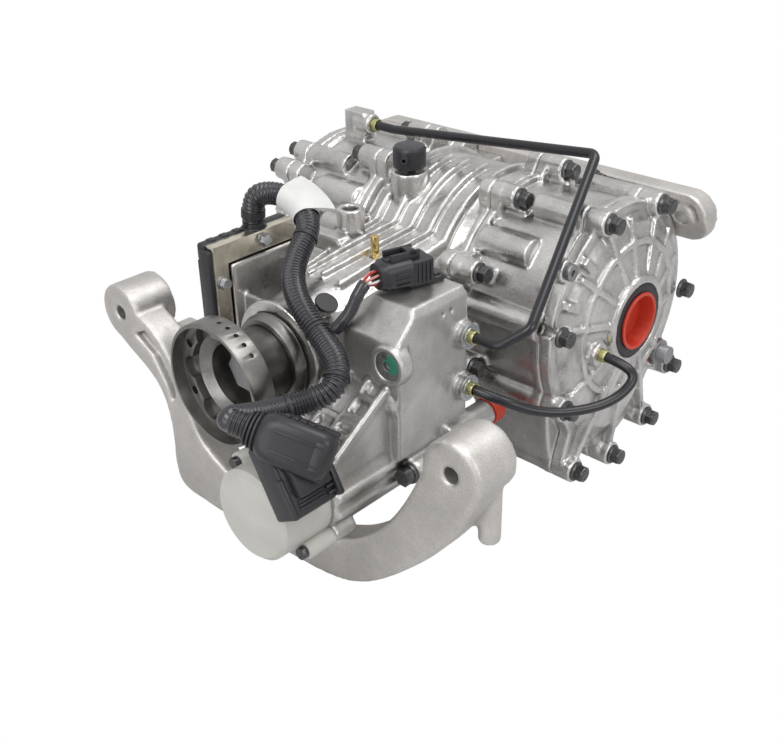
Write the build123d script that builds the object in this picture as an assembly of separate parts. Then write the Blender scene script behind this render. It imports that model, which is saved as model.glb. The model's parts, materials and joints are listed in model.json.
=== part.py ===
from build123d import *
import math
import os

os.makedirs("parts", exist_ok=True)

# Frame: origin at the centre of the input flange rim, +X along the axle to the right
# output, -Y out of the input flange, +Z up. All sizes in millimetres.

# General clearances
gap = 0.3
run = 0.05
face_gap = 1.0

# Axle line and widths
axle_y = 356.0
case_half = 75.0
clutch_length = 103.0
cover_depth = 35.0
cover_seam = case_half + clutch_length
hub_face = cover_seam + cover_depth

# Castings round the axle
drum_radius = 113.0
drum_wall = 13.0
barrel_radius = 110.0
barrel_wall = 8.0
seam_flange = 8.0
cover_flange = 12.0
boss_radius = 12.5
boss_depth = 28.0
boss_tube_radius = 12.0
sump_radius = 72.0
sump_drop = 70.0
sump_length = 60.0
neck_radius = 50.0
rib = 6.0
cover_seat = 22.0

# Bolts of the seams: angle from +Y towards +Z, and stand-off from the barrel
housing_bolt_angles = (153, 114, 78, 52, 5, -35, -75, -115, -160)
housing_bolt_standoff = 14.0
cover_bolts = ((169, 4), (111.6, 8), (65, 3), (-3.3, -5), (-43.5, 24),
               (-66.9, 43), (-91, 49), (-116, 52), (-146.6, 5))
long_bosses = {169: 90.0, 111.6: 120.0, 118.8: 120.0, 65: 90.0, -43.5: 120.0, -146.6: 90.0}
left_bolts = ((118.8, 2), (134, 10))
gallery_angle = 136.0
cover_pads = ((132, 100), (155.5, 98))
bolt_radius = 5.0
bolt_flange_radius = 10.5
bolt_flange_depth = 3.0
bolt_head_flats = 15.0
bolt_head_depth = 9.0
bolt_grip = 24.0
bolt_channel = 48.0

# Nose, pinion and input flange
nose_front = 78.0
nose_radius = 53.0
nose_lip = 6.0
nose_throat = 49.0
throat_end = 96.0
nose_shoulder = 57.0
shoulder_y = 132.0
hood_y = 300.0
hood_width = 130.0
hood_height = 140.0
rim_radius = 59.0
rim_length = 24.0
pilot_radius = 55.5
pilot_depth = 12.0
bowl_radius = 42.0
bowl_depth = 20.0
sleeve_radius = 35.0
sleeve_end = 68.0
flange_hub_radius = 26.0
nut_floor = 48.0
nut_well_radius = 31.0
flange_bolt_circle = 49.0
flange_bolt_radius = 4.0
flange_bolt_count = 6
scallop_radius = 11.0
balance_hole_radius = 2.2
balance_angles = (44, 55, 66, 77, 88)
balance_y = 14.0
deflector_radius = 43.0
seal_bore = 40.0
seal_depth = 12.0
pinion_tail_radius = 18.0
pinion_neck_radius = 22.0
tail_bearing_y = 118.0
tail_bearing_radius = 36.0
head_bearing_radius = 42.0
bearing_width = 20.0
nut_height = 11.0
nut_flats = 36.0
thread_radius = 12.0

# Crown wheel and pinion, straight bevel
gear_module = 5.0
crown_teeth = 35
pinion_teeth = 11
crown_face = 26.0
crown_thickness = 25.0
tooth_backlash = 0.45

# Differential gears
diff_module = 4.0
side_teeth = 16
spider_teeth = 10
diff_face = 12.0
case_radius = 57.0
case_inner = 47.0
case_room = 13.0
journal_length = 38.0
flange_plate = 10.0
cross_pin_radius = 9.0
crown_bolt_circle = 74.0
crown_bolt_count = 10
journal_radius = 28.0
carrier_bearing_radius = 46.0
output_radius = 18.0
window_width = 44.0

# Clutch packs
drum_outer = 98.0
drum_skin = 5.0
plate_outer = 92.6
steel_inner = 70.0
friction_outer = 88.0
clutch_hub_radius = 64.0
plate_pairs = 5
friction_plate = 3.0
steel_plate = 2.0
plate_gap = 0.4
pressure_plate = 5.0
piston_inner = 60.0
piston_outer = 88.0
piston_depth = 14.0
piston_stroke = 1.5

# Output ends
output_bearing_radius = 42.0
output_bearing_width = 16.0
output_bearing_inset = 4.0
socket_radius = 27.0
spline_radius = 17.0
spline_depth = 44.0
shaft_inset = 19.0
seal_outer = 38.0
seal_inner = 28.4
hub_radius = 45.0
plug_cup = 28.0
plug_wall = 2.5
plug_flange_radius = 29.0
plug_depth = 17.0

# Valve block and pump
block_x0 = 72.0
block_x1 = 140.0
block_y0 = 92.0
block_y1 = 184.0
block_top = 76.0
block_slope = 26.0
block_bottom = -70.0
union_y = 175.0
upper_union_z = 33.0
lower_union_z = -20.0
union_radius = 13.0
union_length = 10.0
pump_x = 86.0
pump_z = -78.0
pump_radius = 43.0
pump_front = -38.0
pump_joint_y = 18.0
pump_back = 150.0
rotor_radius = 15.0
rotor_length = 20.0
rotor_y = 70.0
pipe_radius = 4.75
collar_radius = 6.5
collar_length = 7.0

# Mounting castings
yoke_x = 226.0
yoke_z = -22.0
yoke_front = 58.0
yoke_depth = 34.0
yoke_boss_radius = 31.0
yoke_bore = 8.0
yoke_foot = -211.0
arm_y = 446.0
arm_depth = 24.0
arm_z = 74.0
arm_half_height = 27.0
arm_end = 226.0
arm_bore_x = 196.0
arm_bore = 7.0

# Control unit
unit_x0 = -115.0
unit_x1 = -92.0
unit_y0 = 80.0
unit_y1 = 190.0
unit_z0 = -15.0
unit_z1 = 76.0
strip_thickness = 3.0
strip_width = 16.0
unit_lugs = ((92.0, -24.0), (200.0, 62.0))
unit_screws = ((92.0, 42.0), (146.0, 70.0))
unit_socket_y = 147.0

# Small features of the castings
breather_x = -31.0
breather_y = 297.0
breather_z = 114.0
tower_x = -44.0
tower_y = 223.0
tower_z = 92.0
pin_x = 10.0
pin_y = 201.0
pin_z = 83.0
pin_radius = 4.0
pin_length = 34.0
mount_y = 118.0
yoke_bolt_spots = ((-84, -49), (-60, -49), (-18, -67), (18, -67))
arm_bolt_x = (-52.0, -36.0, 36.0, 52.0)
fitting_at = (298.0, -15.0)
drain_at = (429.0, -69.0)
drain_reach = 18.0
level_at = (263.0, 77.0)
level_reach = 12.0
return_at = (350.0, 130.0)
return_length = 45.0
seal_room = 10.0
plug_x = 131.0
plug_z = 32.0
port_x = 141.0
port_z = -66.0
port_end = 212.0
block_pin_holes = ((150.0, 60.0), (162.0, 60.0))
pin_hole_radius = 2.5
pump_screw_angles = (150, 262, -40)
pump_ridge_angles = (34, 8, -14)
boss_length = 50.0

# Harness
conduit_radius = 11.5
branch_radius = 6.0
conduit_route = [(-103, 147, 86.3), (-103, 147, 103), (-95, 151, 116), (-70, 161, 117),
                 (-42, 161, 107), (-22, 147, 97), (-14, 122, 82), (2, 100, 69), (32, 82, 58),
                 (66, 76, 40), (98, 63, 31), (108, 46, 17), (88, 24, 6),
                 (75.2, -44.4, 18.7), (98, -33, 11.8)]
branch_route = [(73, 84.5, 49), (84.5, 90, 63), (86, 101, 82), (86.9, 112.5, 91), (89.3, 120.3, 91)]
label_run = 3
label_length = 26.0
label_flag = 34.0
label_loop = 14.0
label_ease = 1.2
clip_at = (35.0, 110.0, 52.0)
clip_way = (0.53, 0.0, 0.85)
clip_stem = 3.5

# Connectors
connector_at = (106.0, -16.0, 2.0)
connector_along = (0.49, 0.0, -0.87)
connector_facing = (0.87, 0.0, 0.49)
connector_length = 66.0
connector_width = 52.0
connector_depth = 26.0
outlet_at = (104.0, -30.0, 10.0)
outlet_along = (0.86, 0.43, -0.26)
outlet_facing = (0.5, -0.74, 0.45)
outlet_length = 60.0
sensor_x = 99.0
sensor_y = 151.0
sensor_along = (0.3, 0.954, 0.0)
sensor_foot = 32.0
sensor_screw_x = 26.0


# Sizes worked out from the ones above
pressure_angle = math.radians(20)
pinion_shift = 0.35
spider_shift = 0.3
crown_pitch = gear_module * crown_teeth / 2
pinion_pitch = gear_module * pinion_teeth / 2
side_pitch = diff_module * side_teeth / 2
spider_pitch = diff_module * spider_teeth / 2
crown_bore = case_radius + 1.0
crown_back = pinion_pitch + crown_thickness
head_y = axle_y - crown_pitch - 6.0
neck_end = tail_bearing_y + bearing_width + 8
thread_end = nut_floor - nut_height - 3
head_bearing_y = head_y - bearing_width
bearing_ring = 5.0
output_journal = output_bearing_radius - 2 * bearing_ring - 7.0
case_end = case_half - case_room
journal_end = case_end + journal_length
output_bearing_x = cover_seam - output_bearing_inset
shaft_end = hub_face - shaft_inset
bearing_x0 = case_end + 2.0
bulkhead_hub = carrier_bearing_radius + 6.0
clutch_start = bearing_x0 + bearing_width + 3.0 + face_gap
pack_start = clutch_start + drum_skin + 10.0
pack_end = pack_start + plate_pairs * (friction_plate + steel_plate + 2 * plate_gap) \
    + pressure_plate - steel_plate
piston_x = cover_seam - 8.0 - piston_depth
flange_hub_end = tail_bearing_y - 1.0
drain_seat = cover_seam + drain_reach
level_seat = cover_seam + level_reach
saddle_radius = barrel_radius + 7.5
pump_rear_radius = pump_radius + 3.0
armature_radius = pump_radius - 18.0
ear_bolt_at = (pump_x + pump_rear_radius + 10.5, pump_z - 2.0)
fitting_seat = cover_seam + 32.0
return_face = cover_seam - 47.0


def rod_x(x0, x1, radius, y=axle_y, z=0.0):
    return Solid.make_cylinder(radius, x1 - x0, Plane(origin=(x0, y, z), z_dir=(1, 0, 0)))


def rod_y(y0, y1, radius, x=0.0, z=0.0):
    return Solid.make_cylinder(radius, y1 - y0, Plane(origin=(x, y0, z), z_dir=(0, 1, 0)))


def rod_z(z0, z1, radius, x, y):
    return Solid.make_cylinder(radius, z1 - z0, Plane(origin=(x, y, z0)))


def block(x0, x1, y0, y1, z0, z1):
    return Solid.make_box(x1 - x0, y1 - y0, z1 - z0, Plane(origin=(x0, y0, z0)))


def turned_x(profile, y=axle_y, z=0.0):
    outline = Wire.make_polygon([(x, y, z + r) for x, r in profile], close=True)
    return Solid.revolve(Face(outline), 360, Axis((0, y, z), (1, 0, 0)))


def turned_y(profile, x=0.0, z=0.0):
    outline = Wire.make_polygon([(x, y, z + r) for y, r in profile], close=True)
    return Solid.revolve(Face(outline), 360, Axis((x, 0, z), (0, 1, 0)))


def ring_x(x0, x1, inner, outer):
    return turned_x([(x0, inner), (x1, inner), (x1, outer), (x0, outer)])


def ring_y(y0, y1, inner, outer):
    return turned_y([(y0, inner), (y1, inner), (y1, outer), (y0, outer)])


def slab_x(points, x0, x1):
    outline = Wire.make_polygon([(x0, y, z) for y, z in points], close=True)
    return Solid.extrude(Face(outline), Vector(x1 - x0, 0, 0))


def slab_y(points, y0, y1):
    outline = Wire.make_polygon([(x, y0, z) for x, z in points], close=True)
    return Solid.extrude(Face(outline), Vector(0, y1 - y0, 0))


def fused(first, *others):
    return Part() + [first, *others]


def mirrored(shape):
    return shape.mirror(Plane.YZ)


def at_angle(angle, radius):
    turn = math.radians(angle)
    return axle_y + radius * math.cos(turn), radius * math.sin(turn)


def hull_of(circles):
    # The taut outline round circles given as (y, z, radius), seen along the axle.
    edges = [Edge.make_circle(r, Plane(origin=(y, z, 0))) for y, z, r in circles]
    return make_hull(edges)


def along_axle(sketch, x0, x1):
    plane = Plane(origin=(x0, 0, 0), x_dir=(0, 1, 0), z_dir=(1, 0, 0))
    return extrude(plane * sketch, x1 - x0)


def ear(angle, radius, inner, x0, x1, end_radius=boss_radius):
    # A tapered lug from the casting out to a bolt.
    y, z = at_angle(angle, radius)
    base_y, base_z = at_angle(angle, inner)
    return along_axle(hull_of([(y, z, end_radius), (base_y, base_z, end_radius * 1.8)]), x0, x1)


def hex_x(x0, x1, flats, y, z):
    return along_axle(Pos(y, z) * RegularPolygon(flats / 2, 6, major_radius=False), x0, x1)


def hex_y(y0, y1, flats, x, z):
    plane = Plane(origin=(x, y0, z), x_dir=(1, 0, 0), z_dir=(0, 1, 0))
    return extrude(plane * RegularPolygon(flats / 2, 6, major_radius=False), y1 - y0)


def bolt_x(x, y, z, grip=bolt_grip):
    # A flanged hexagon bolt seated at x with its shank towards -X.
    seat = x + bolt_flange_depth
    shank = rod_x(x - grip, x, bolt_radius, y, z)
    flange = rod_x(x, seat, bolt_flange_radius, y, z)
    return fused(shank, flange, hex_x(seat, seat + bolt_head_depth, bolt_head_flats, y, z))


def bolt_y(y, x, z, grip=bolt_grip):
    # The same bolt seated at y with its shank towards +Y.
    seat = y - bolt_flange_depth
    shank = rod_y(y, y + grip, bolt_radius, x, z)
    flange = rod_y(seat, y, bolt_flange_radius, x, z)
    return fused(shank, flange, hex_y(seat - bolt_head_depth, seat, bolt_head_flats, x, z))


def involute(angle):
    return math.tan(angle) - angle


def flank(pitch_radius, slope, count, module, shift, backlash):
    # Depth from the pitch cone and half width of the tooth, from root to tip.
    virtual = pitch_radius / math.cos(slope)
    base = virtual * math.cos(pressure_angle)
    half = math.pi / 4 * module + shift * module * math.tan(pressure_angle) - backlash / 2
    tip = (1 + shift) * module * 0.95
    root = -(1.25 - shift) * module
    start = max(root, base - virtual)
    steps = [root - 0.2 * module] + [start + (tip - start) * n / 3 for n in range(4)]
    corners = []
    for depth in steps:
        radius = max(virtual + depth, base)
        at = math.acos(min(1.0, base / radius))
        half_angle = half / virtual + involute(pressure_angle) - involute(at)
        corners.append((depth, max(half_angle * radius, 0.1 * module)))
    return root, corners


def bevel_gear(pitch_radius, cone_height, count, module, face, back, bore, shift, phase=0.0):
    # A straight bevel gear about +Z with its cone apex at the origin. Each tooth is the
    # loft between its big end and the same outline drawn towards the apex.
    slope = math.atan2(pitch_radius, cone_height)
    share = 1.0 - face / math.hypot(pitch_radius, cone_height)
    root, corners = flank(pitch_radius, slope, count, module, shift, tooth_backlash)

    def on_cone(depth):
        return pitch_radius + depth * math.cos(slope), cone_height - depth * math.sin(slope)

    outer_r, outer_h = on_cone(root)
    floor = cone_height + back
    edge = 0.5 * module
    profile = [(bore, outer_h * share), (outer_r * share, outer_h * share), (outer_r, outer_h),
               (outer_r + edge, outer_h + edge / 2), (outer_r + edge, floor), (bore, floor)]
    outline = Wire.make_polygon([(r, 0, h) for r, h in profile], close=True)
    blank = Solid.revolve(Face(outline), 360, Axis.Z)
    ends = []
    for scale in (1.0, share):
        points = []
        for side in (1, -1):
            for depth, half in corners[::side]:
                r, h = on_cone(depth)
                points.append(Vector(r, side * half, h) * scale)
        ends.append(Wire.make_polygon(points, close=True))
    one = Solid.make_loft(ends, ruled=True)
    teeth = [one.rotate(Axis.Z, phase + 360 / count * n) for n in range(count)]
    return Part() + [blank] + teeth


def placed(shape, z_dir, x_dir):
    return Plane(origin=(0, axle_y, 0), x_dir=x_dir, z_dir=z_dir).location * shape


def make_crown_wheel():
    gear = bevel_gear(crown_pitch, pinion_pitch, crown_teeth, gear_module, crown_face,
                      crown_thickness, crown_bore, -pinion_shift)
    gear = placed(gear, (-1, 0, 0), (0, -1, 0))
    back = -(pinion_pitch + crown_thickness)
    holes = []
    for n in range(crown_bolt_count):
        y, z = at_angle(360 / crown_bolt_count * n, crown_bolt_circle)
        holes.append(rod_x(back - 1, back + 16, bolt_radius + run, y, z))
    return gear - holes


def make_pinion():
    gear = bevel_gear(pinion_pitch, crown_pitch, pinion_teeth, gear_module, crown_face,
                      6.0, 0.0, pinion_shift, 180 / pinion_teeth)
    gear = placed(gear, (0, -1, 0), (-1, 0, 0))
    shaft = turned_y([(head_y, 0), (head_y, pinion_neck_radius), (neck_end, pinion_neck_radius),
                      (neck_end, pinion_tail_radius), (nut_floor, pinion_tail_radius),
                      (nut_floor, thread_radius), (thread_end, thread_radius), (thread_end, 0)])
    return fused(gear, shaft)



def make_side_gear(side):
    gear = bevel_gear(side_pitch, spider_pitch, side_teeth, diff_module, diff_face, 10.0,
                      output_radius + run, -spider_shift)
    return placed(gear, (side, 0, 0), (0, 0, 1))


def make_spider(side):
    gear = bevel_gear(spider_pitch, side_pitch, spider_teeth, diff_module, diff_face, 7.0,
                      cross_pin_radius + run, spider_shift, 180 / spider_teeth)
    return placed(gear, (0, 0, side), (1, 0, 0))


def make_differential_case():
    # A barrel round the bevel gears with two windows, a flange for the crown wheel
    # and a journal at each end for the carrier bearings and the clutch drums.
    outside = turned_x([(-journal_end, 0), (-journal_end, journal_radius),
                        (-case_end, journal_radius), (-case_end, crown_bolt_circle + 12),
                        (-crown_back, crown_bolt_circle + 12), (-crown_back, case_radius),
                        (case_half - 32, case_radius), (case_end, journal_radius + 8),
                        (case_end, journal_radius), (journal_end, journal_radius),
                        (journal_end, 0)])
    gear_room = spider_pitch + 11.0
    inside = turned_x([(-gear_room, 0), (-gear_room, case_inner - 8), (-gear_room + 8, case_inner),
                       (gear_room - 8, case_inner), (gear_room, case_inner - 8), (gear_room, 0)])
    bore = rod_x(-journal_end - 1, journal_end + 1, output_radius + 0.5)
    window = block(-window_width / 2, window_width / 2, axle_y - case_radius - 5,
                   axle_y + case_radius + 5, -window_width / 2, window_width / 2)
    window = fillet(window.edges().filter_by(Axis.Y), 10.0)
    pin = rod_z(-case_radius - 1, case_radius + 1, cross_pin_radius + run, 0, axle_y)
    holes = []
    for n in range(crown_bolt_count):
        y, z = at_angle(360 / crown_bolt_count * n, crown_bolt_circle)
        holes.append(rod_x(-case_end - 1, -crown_back + 1, bolt_radius + run, y, z))
    return Part() + outside - inside - bore - window - pin - holes


def make_crown_bolts():
    bolts = []
    for n in range(crown_bolt_count):
        y, z = at_angle(360 / crown_bolt_count * n, crown_bolt_circle)
        shank = rod_x(-case_end, -crown_back + 14, bolt_radius, y, z)
        bolts.append(fused(shank, hex_x(-case_end - 6, -case_end, bolt_head_flats, y, z)))
    return Compound(children=[b.solid() for b in bolts])


def make_output_shaft():
    # The side gear's shaft, with a splined socket at its outer end.
    socket = [(shaft_end - spline_depth - 8, output_radius), (shaft_end - spline_depth, socket_radius),
              (output_bearing_x - 6, socket_radius), (output_bearing_x, output_journal),
              (shaft_end, output_journal)]
    inner_end = spider_pitch * 0.75
    shaft = turned_x([(inner_end, 0), (inner_end, output_radius), *socket, (shaft_end, 0)])
    bore = rod_x(shaft_end - spline_depth, shaft_end + 1, spline_radius)
    return Part() + shaft - bore


def make_clutch_drum():
    # A basket on the end of the case's journal, with slots for the steel plates.
    basket = turned_x([(clutch_start, journal_radius + run), (journal_end - 1, journal_radius + run),
                       (journal_end - 1, journal_radius + 5), (clutch_start + drum_skin, journal_radius + 8),
                       (clutch_start + drum_skin, drum_outer - drum_skin),
                       (pack_end, drum_outer - drum_skin),
                       (pack_end, drum_outer), (clutch_start, drum_outer)])
    slots = []
    for n in range(8):
        slot = block(clutch_start + 10, pack_end - 8, -7, 7, drum_outer - 12, drum_outer + 12)
        slots.append(Location((0, axle_y, 0), (45 * n, 0, 0)) * slot)
    return Part() + basket - slots


def make_clutch_hub():
    foot = journal_end + face_gap
    return turned_x([(foot, output_radius + run), (foot + 14, output_radius + run),
                     (foot + 14, output_radius + 7), (foot + 6, output_radius + 10),
                     (foot + 6, clutch_hub_radius - 5), (pack_end, clutch_hub_radius - 5),
                     (pack_end, clutch_hub_radius), (foot, clutch_hub_radius)])


def plate_x(index):
    return pack_start + index * (friction_plate + steel_plate + 2 * plate_gap)


def make_friction_plates():
    plates = [ring_x(plate_x(n), plate_x(n) + friction_plate, clutch_hub_radius + gap, friction_outer)
              for n in range(plate_pairs)]
    return Compound(children=plates)


def make_steel_plates():
    lag = friction_plate + plate_gap
    plates = [ring_x(plate_x(n) + lag, plate_x(n) + lag + steel_plate, steel_inner, plate_outer)
              for n in range(plate_pairs - 1)]
    last = plate_x(plate_pairs - 1) + lag
    plates.append(ring_x(last, last + pressure_plate, steel_inner, plate_outer))
    return Compound(children=plates)


def make_piston():
    # An annular piston in the end cover; its nose stops short of the pressure plate.
    nose = pack_end + 1.0 + piston_stroke
    mid = (piston_inner + piston_outer) / 2
    return turned_x([(piston_x, piston_inner + run), (piston_x + piston_depth, piston_inner + run),
                     (piston_x + piston_depth, piston_outer - run), (piston_x, piston_outer - run),
                     (piston_x, mid + 6), (nose, mid + 6), (nose, mid - 6), (piston_x, mid - 6)])


def bearing_x(x0, width, inner, outer, rollers):
    mid = (inner + outer) / 2
    roll = (outer - inner) / 2 - bearing_ring - 0.1
    solids = [ring_x(x0, x0 + width, inner + run, inner + bearing_ring),
              ring_x(x0, x0 + width, outer - bearing_ring, outer - run)]
    for n in range(rollers):
        y, z = at_angle(360 / rollers * n, mid)
        solids.append(rod_x(x0 + 2, x0 + width - 2, roll, y, z))
    return solids


def bearing_y(y0, width, inner, outer, rollers):
    mid = (inner + outer) / 2
    roll = (outer - inner) / 2 - bearing_ring - 0.1
    solids = [ring_y(y0, y0 + width, inner + run, inner + bearing_ring),
              ring_y(y0, y0 + width, outer - bearing_ring, outer - run)]
    for n in range(rollers):
        turn = 2 * math.pi / rollers * n
        solids.append(rod_y(y0 + 2, y0 + width - 2, roll, mid * math.cos(turn), mid * math.sin(turn)))
    return solids


def barrel_outline(grow=0.0):
    return hull_of([(axle_y, 0, barrel_radius + grow), (axle_y - 5, -sump_drop, sump_radius + grow)])


def housing_bolt_at(angle):
    return at_angle(angle, barrel_radius + housing_bolt_standoff)


def cover_bolts_of(side):
    # The left cover has two bolts in other places.
    if side > 0:
        return cover_bolts
    return [spot for spot in cover_bolts if spot[0] != 111.6] + list(left_bolts)


def cover_bolt_at(angle, standoff):
    return at_angle(angle, barrel_radius + standoff)


def hood(grow=0.0):
    # The casting's saddle from the round nose to the drum round the crown wheel.
    start = Plane(origin=(0, shoulder_y, 0), x_dir=(1, 0, 0), z_dir=(0, 1, 0))
    end = Plane(origin=(0, hood_y, 0), x_dir=(1, 0, 0), z_dir=(0, 1, 0))
    narrow = RectangleRounded(2 * (nose_shoulder + grow), 2 * (nose_shoulder + grow),
                              nose_shoulder + grow - 2)
    wide = RectangleRounded(hood_width + 2 * grow, hood_height + 2 * grow, 30.0)
    return loft([start * narrow, end * wide])


def make_main_housing():
    nose = turned_y([(nose_front, 0), (nose_front, nose_radius), (nose_front + nose_lip, nose_radius),
                     (nose_front + nose_lip, nose_throat), (throat_end, nose_throat),
                     (shoulder_y, nose_shoulder), (axle_y - drum_radius + 20, nose_shoulder),
                     (axle_y - drum_radius + 20, 0)])
    body = turned_x([(-case_half, 0), (-case_half, drum_radius - 8), (-case_half * 0.55, drum_radius),
                     (case_half * 0.55, drum_radius), (case_half, drum_radius - 8), (case_half, 0)])
    flanges = []
    for side in (-1, 1):
        x0, x1 = sorted((side * case_half, side * (case_half - seam_flange)))
        flanges.append(rod_x(x0, x1, barrel_radius + 6))
        for angle in housing_bolt_angles:
            flanges.append(ear(angle, barrel_radius + housing_bolt_standoff, barrel_radius - 18,
                               *sorted((side * case_half, side * (case_half - 14)))))
    outside = Part() + [nose, body, hood(), *flanges, *hood_ribs(), *housing_pads()]
    inside = [turned_x([(-case_half - 1, 0), (-case_half - 1, drum_radius - drum_wall),
                        (case_half + 1, drum_radius - drum_wall), (case_half + 1, 0)]),
              rod_y(nose_front - 1, nose_front + nose_lip + seal_depth, seal_bore),
              rod_y(nose_front, axle_y - 90, flange_hub_radius + 2),
              rod_y(tail_bearing_y, tail_bearing_y + bearing_width, tail_bearing_radius),
              rod_y(head_bearing_y, axle_y - 80, head_bearing_radius)]
    for angle in housing_bolt_angles:
        y, z = housing_bolt_at(angle)
        for side in (-1, 1):
            x0, x1 = sorted((side * (case_half + 1), side * (case_half - 12)))
            inside.append(rod_x(x0, x1, bolt_radius + run, y, z))
    return outside - inside - housing_holes()


def hood_ribs():
    # Thin plates across the saddle and the drum, kept to a skin just proud of both.
    plates = []
    for x in (-46, -23, 0, 23, 46):
        plates.append(block(x - rib / 2, x + rib / 2, shoulder_y + 6, axle_y, 0, drum_radius + 20))
    skin = Part() + [hood(rib), rod_x(-case_half, case_half, drum_radius + rib)]
    upper = (Part() + plates) & skin
    hoops = []
    for x in (-46, 46):
        hoops.append(rod_x(x - rib / 2, x + rib / 2, drum_radius + rib))
    flank_plates = []
    for z in (-46, -20, 34):
        flank_plates.append(block(-case_half + 1, case_half - 1, shoulder_y + 10, axle_y - 90, z - 3, z + 3))
    lower = (Part() + flank_plates) & hood(rib)
    return [upper, lower, *hoops]


def housing_pads():
    pads = [block(nose_shoulder - 25, block_x0, block_y0 + 8, block_y1 - 4, -28, 40),
            rod_z(40, breather_z, 19, breather_x, breather_y),
            rod_z(30, tower_z, 14, tower_x, tower_y),
            clip_rod(8, 24, -gap),
            rod_z(30, pin_z - 21, 9, pin_x, pin_y)]
    for side in (-1, 1):
        pads.append(block(side * 44 - 18, side * 44 + 18, axle_y + 60, arm_y, arm_z - 22, arm_z + 18))
    pads.append(block(-94, -40, mount_y, mount_y + 22, -64, -34))
    pads.append(block(-30, 30, mount_y, mount_y + 22, -76, -40))
    for y, z in unit_lugs:
        pads.append(block(unit_x1 + strip_thickness, -30, y - 9, y + 9, z - 9, z + 9))
    wall_x = unit_x1 + strip_thickness + gap
    pads.append(block(wall_x, wall_x + 5, unit_y0 + strip_width + 5, unit_y1 - 4, unit_z0 + 4, unit_z1 - 17))
    for y, z in ((unit_y0 + 34, 12), (unit_y1 - 14, 30)):
        pads.append(block(wall_x, -35, y - 3, y + 3, -12, z + 14))
    return pads


def housing_holes():
    holes = [rod_z(tower_z - 18, tower_z + 1, 8, tower_x, tower_y),
             rod_z(pin_z - pin_length - 2, pin_z, pin_radius + run, pin_x, pin_y),
             rod_z(breather_z - 12, breather_z + 1, 6 + run, breather_x, breather_y)]
    holes.append(clip_rod(clip_stem + run, 16, 1))
    seat_half = case_half + 1
    holes.append(block(-seat_half, seat_half, arm_y, arm_y + 60, arm_z - arm_half_height - 1,
                       arm_z + arm_half_height + 1))
    for x, z in yoke_bolt_spots:
        holes.append(rod_y(mount_y - 1, mount_y + 18, bolt_radius + run, x, z))
    for x in arm_bolt_x:
        holes.append(rod_y(arm_y - 22, arm_y + 9, bolt_radius + run, x, arm_z))
    for y, z in unit_lugs:
        holes.append(rod_x(unit_x1, unit_x1 + 20, 3 + run, y, z))
    return holes


def make_clutch_housing(side):
    flange_end = cover_seam - seam_flange
    shell = turned_x([(case_half, bulkhead_hub), (bearing_x0 - 2, bulkhead_hub),
                      (bearing_x0 - 2, carrier_bearing_radius),
                      (bearing_x0 + bearing_width, carrier_bearing_radius),
                      (bearing_x0 + bearing_width, carrier_bearing_radius - 5),
                      (bearing_x0 + bearing_width + 3, carrier_bearing_radius - 5),
                      (case_half + 8, barrel_radius - barrel_wall),
                      (cover_seam, barrel_radius - barrel_wall),
                      (cover_seam, barrel_radius), (case_half + seam_flange, barrel_radius),
                      (case_half + seam_flange, barrel_radius + 6), (case_half, barrel_radius + 6)])
    sump = along_axle(barrel_outline(), cover_seam - sump_length, cover_seam) \
        - rod_x(cover_seam - sump_length - 1, cover_seam + 1, barrel_radius - 2)
    neck_end = cover_seam - sump_length
    neck = hull_of([(axle_y, 0, barrel_radius), (axle_y - 5, -sump_drop, neck_radius)])
    neck = along_axle(neck, case_half, neck_end) - rod_x(case_half - 1, neck_end + 1, barrel_radius - 2)
    parts = [shell, sump, neck, along_axle(barrel_outline(4), flange_end, cover_seam)
             - rod_x(flange_end - 1, cover_seam + 1, barrel_radius - 2)]
    room = rod_x(case_half - 20, cover_seam + 1, barrel_radius - barrel_wall / 2)
    for angle in housing_bolt_angles:
        radius = barrel_radius + housing_bolt_standoff
        y, z = housing_bolt_at(angle)
        lug = ear(angle, radius, barrel_radius - 18, case_half, case_half + 12)
        tube = rod_x(case_half, case_half + boss_depth, boss_tube_radius, y, z)
        web = ear(angle, radius - 6, barrel_radius - 14, case_half, case_half + boss_depth + 8,
                  boss_radius * 0.45)
        parts.append(lug + tube + web - room)
    for angle, standoff in cover_bolts_of(side):
        y, z = cover_bolt_at(angle, standoff)
        start = long_bosses.get(angle, cover_seam - 16)
        lug = ear(angle, barrel_radius + standoff, barrel_radius - 18, flange_end - 2, cover_seam)
        tube = rod_x(start, cover_seam, boss_tube_radius, y, z)
        parts.append(lug + tube - room)
    bulge_y, bulge_z = at_angle(gallery_angle, barrel_radius - 3)
    parts.append(rod_x(case_half + seam_flange, cover_seam - 36, 15, bulge_y, bulge_z) - room)
    holes = []
    if side < 0:
        y, z = return_at
        boss = block(return_face + 8, return_face + return_length - 8, y - 8, y + 10, 80, z + 12)
        parts.append(fused(boss, rod_x(return_face, return_face + 24, 11, y, z)) - room)
        holes.append(rod_x(return_face - 1, return_face + 12, pipe_radius + run, y, z))
    housing = Part() + parts
    for angle in housing_bolt_angles:
        seat = case_half + boss_depth
        holes.append(rod_x(case_half - 1, seat + 1, bolt_radius + run, *housing_bolt_at(angle)))
        depth = bolt_channel if angle in (-75, -115) else 14
        holes.append(rod_x(seat, seat + depth, bolt_flange_radius + gap, *housing_bolt_at(angle)))
    for angle, standoff in cover_bolts_of(side):
        spot = cover_bolt_at(angle, standoff)
        holes.append(rod_x(cover_seam - 14, cover_seam + 1, bolt_radius + run, *spot))
    return housing - holes


def make_cover_bolts(side):
    seat = cover_seam + cover_seat
    return [bolt_x(seat, *cover_bolt_at(*spot), cover_seat + 12) for spot in cover_bolts_of(side)]


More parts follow.
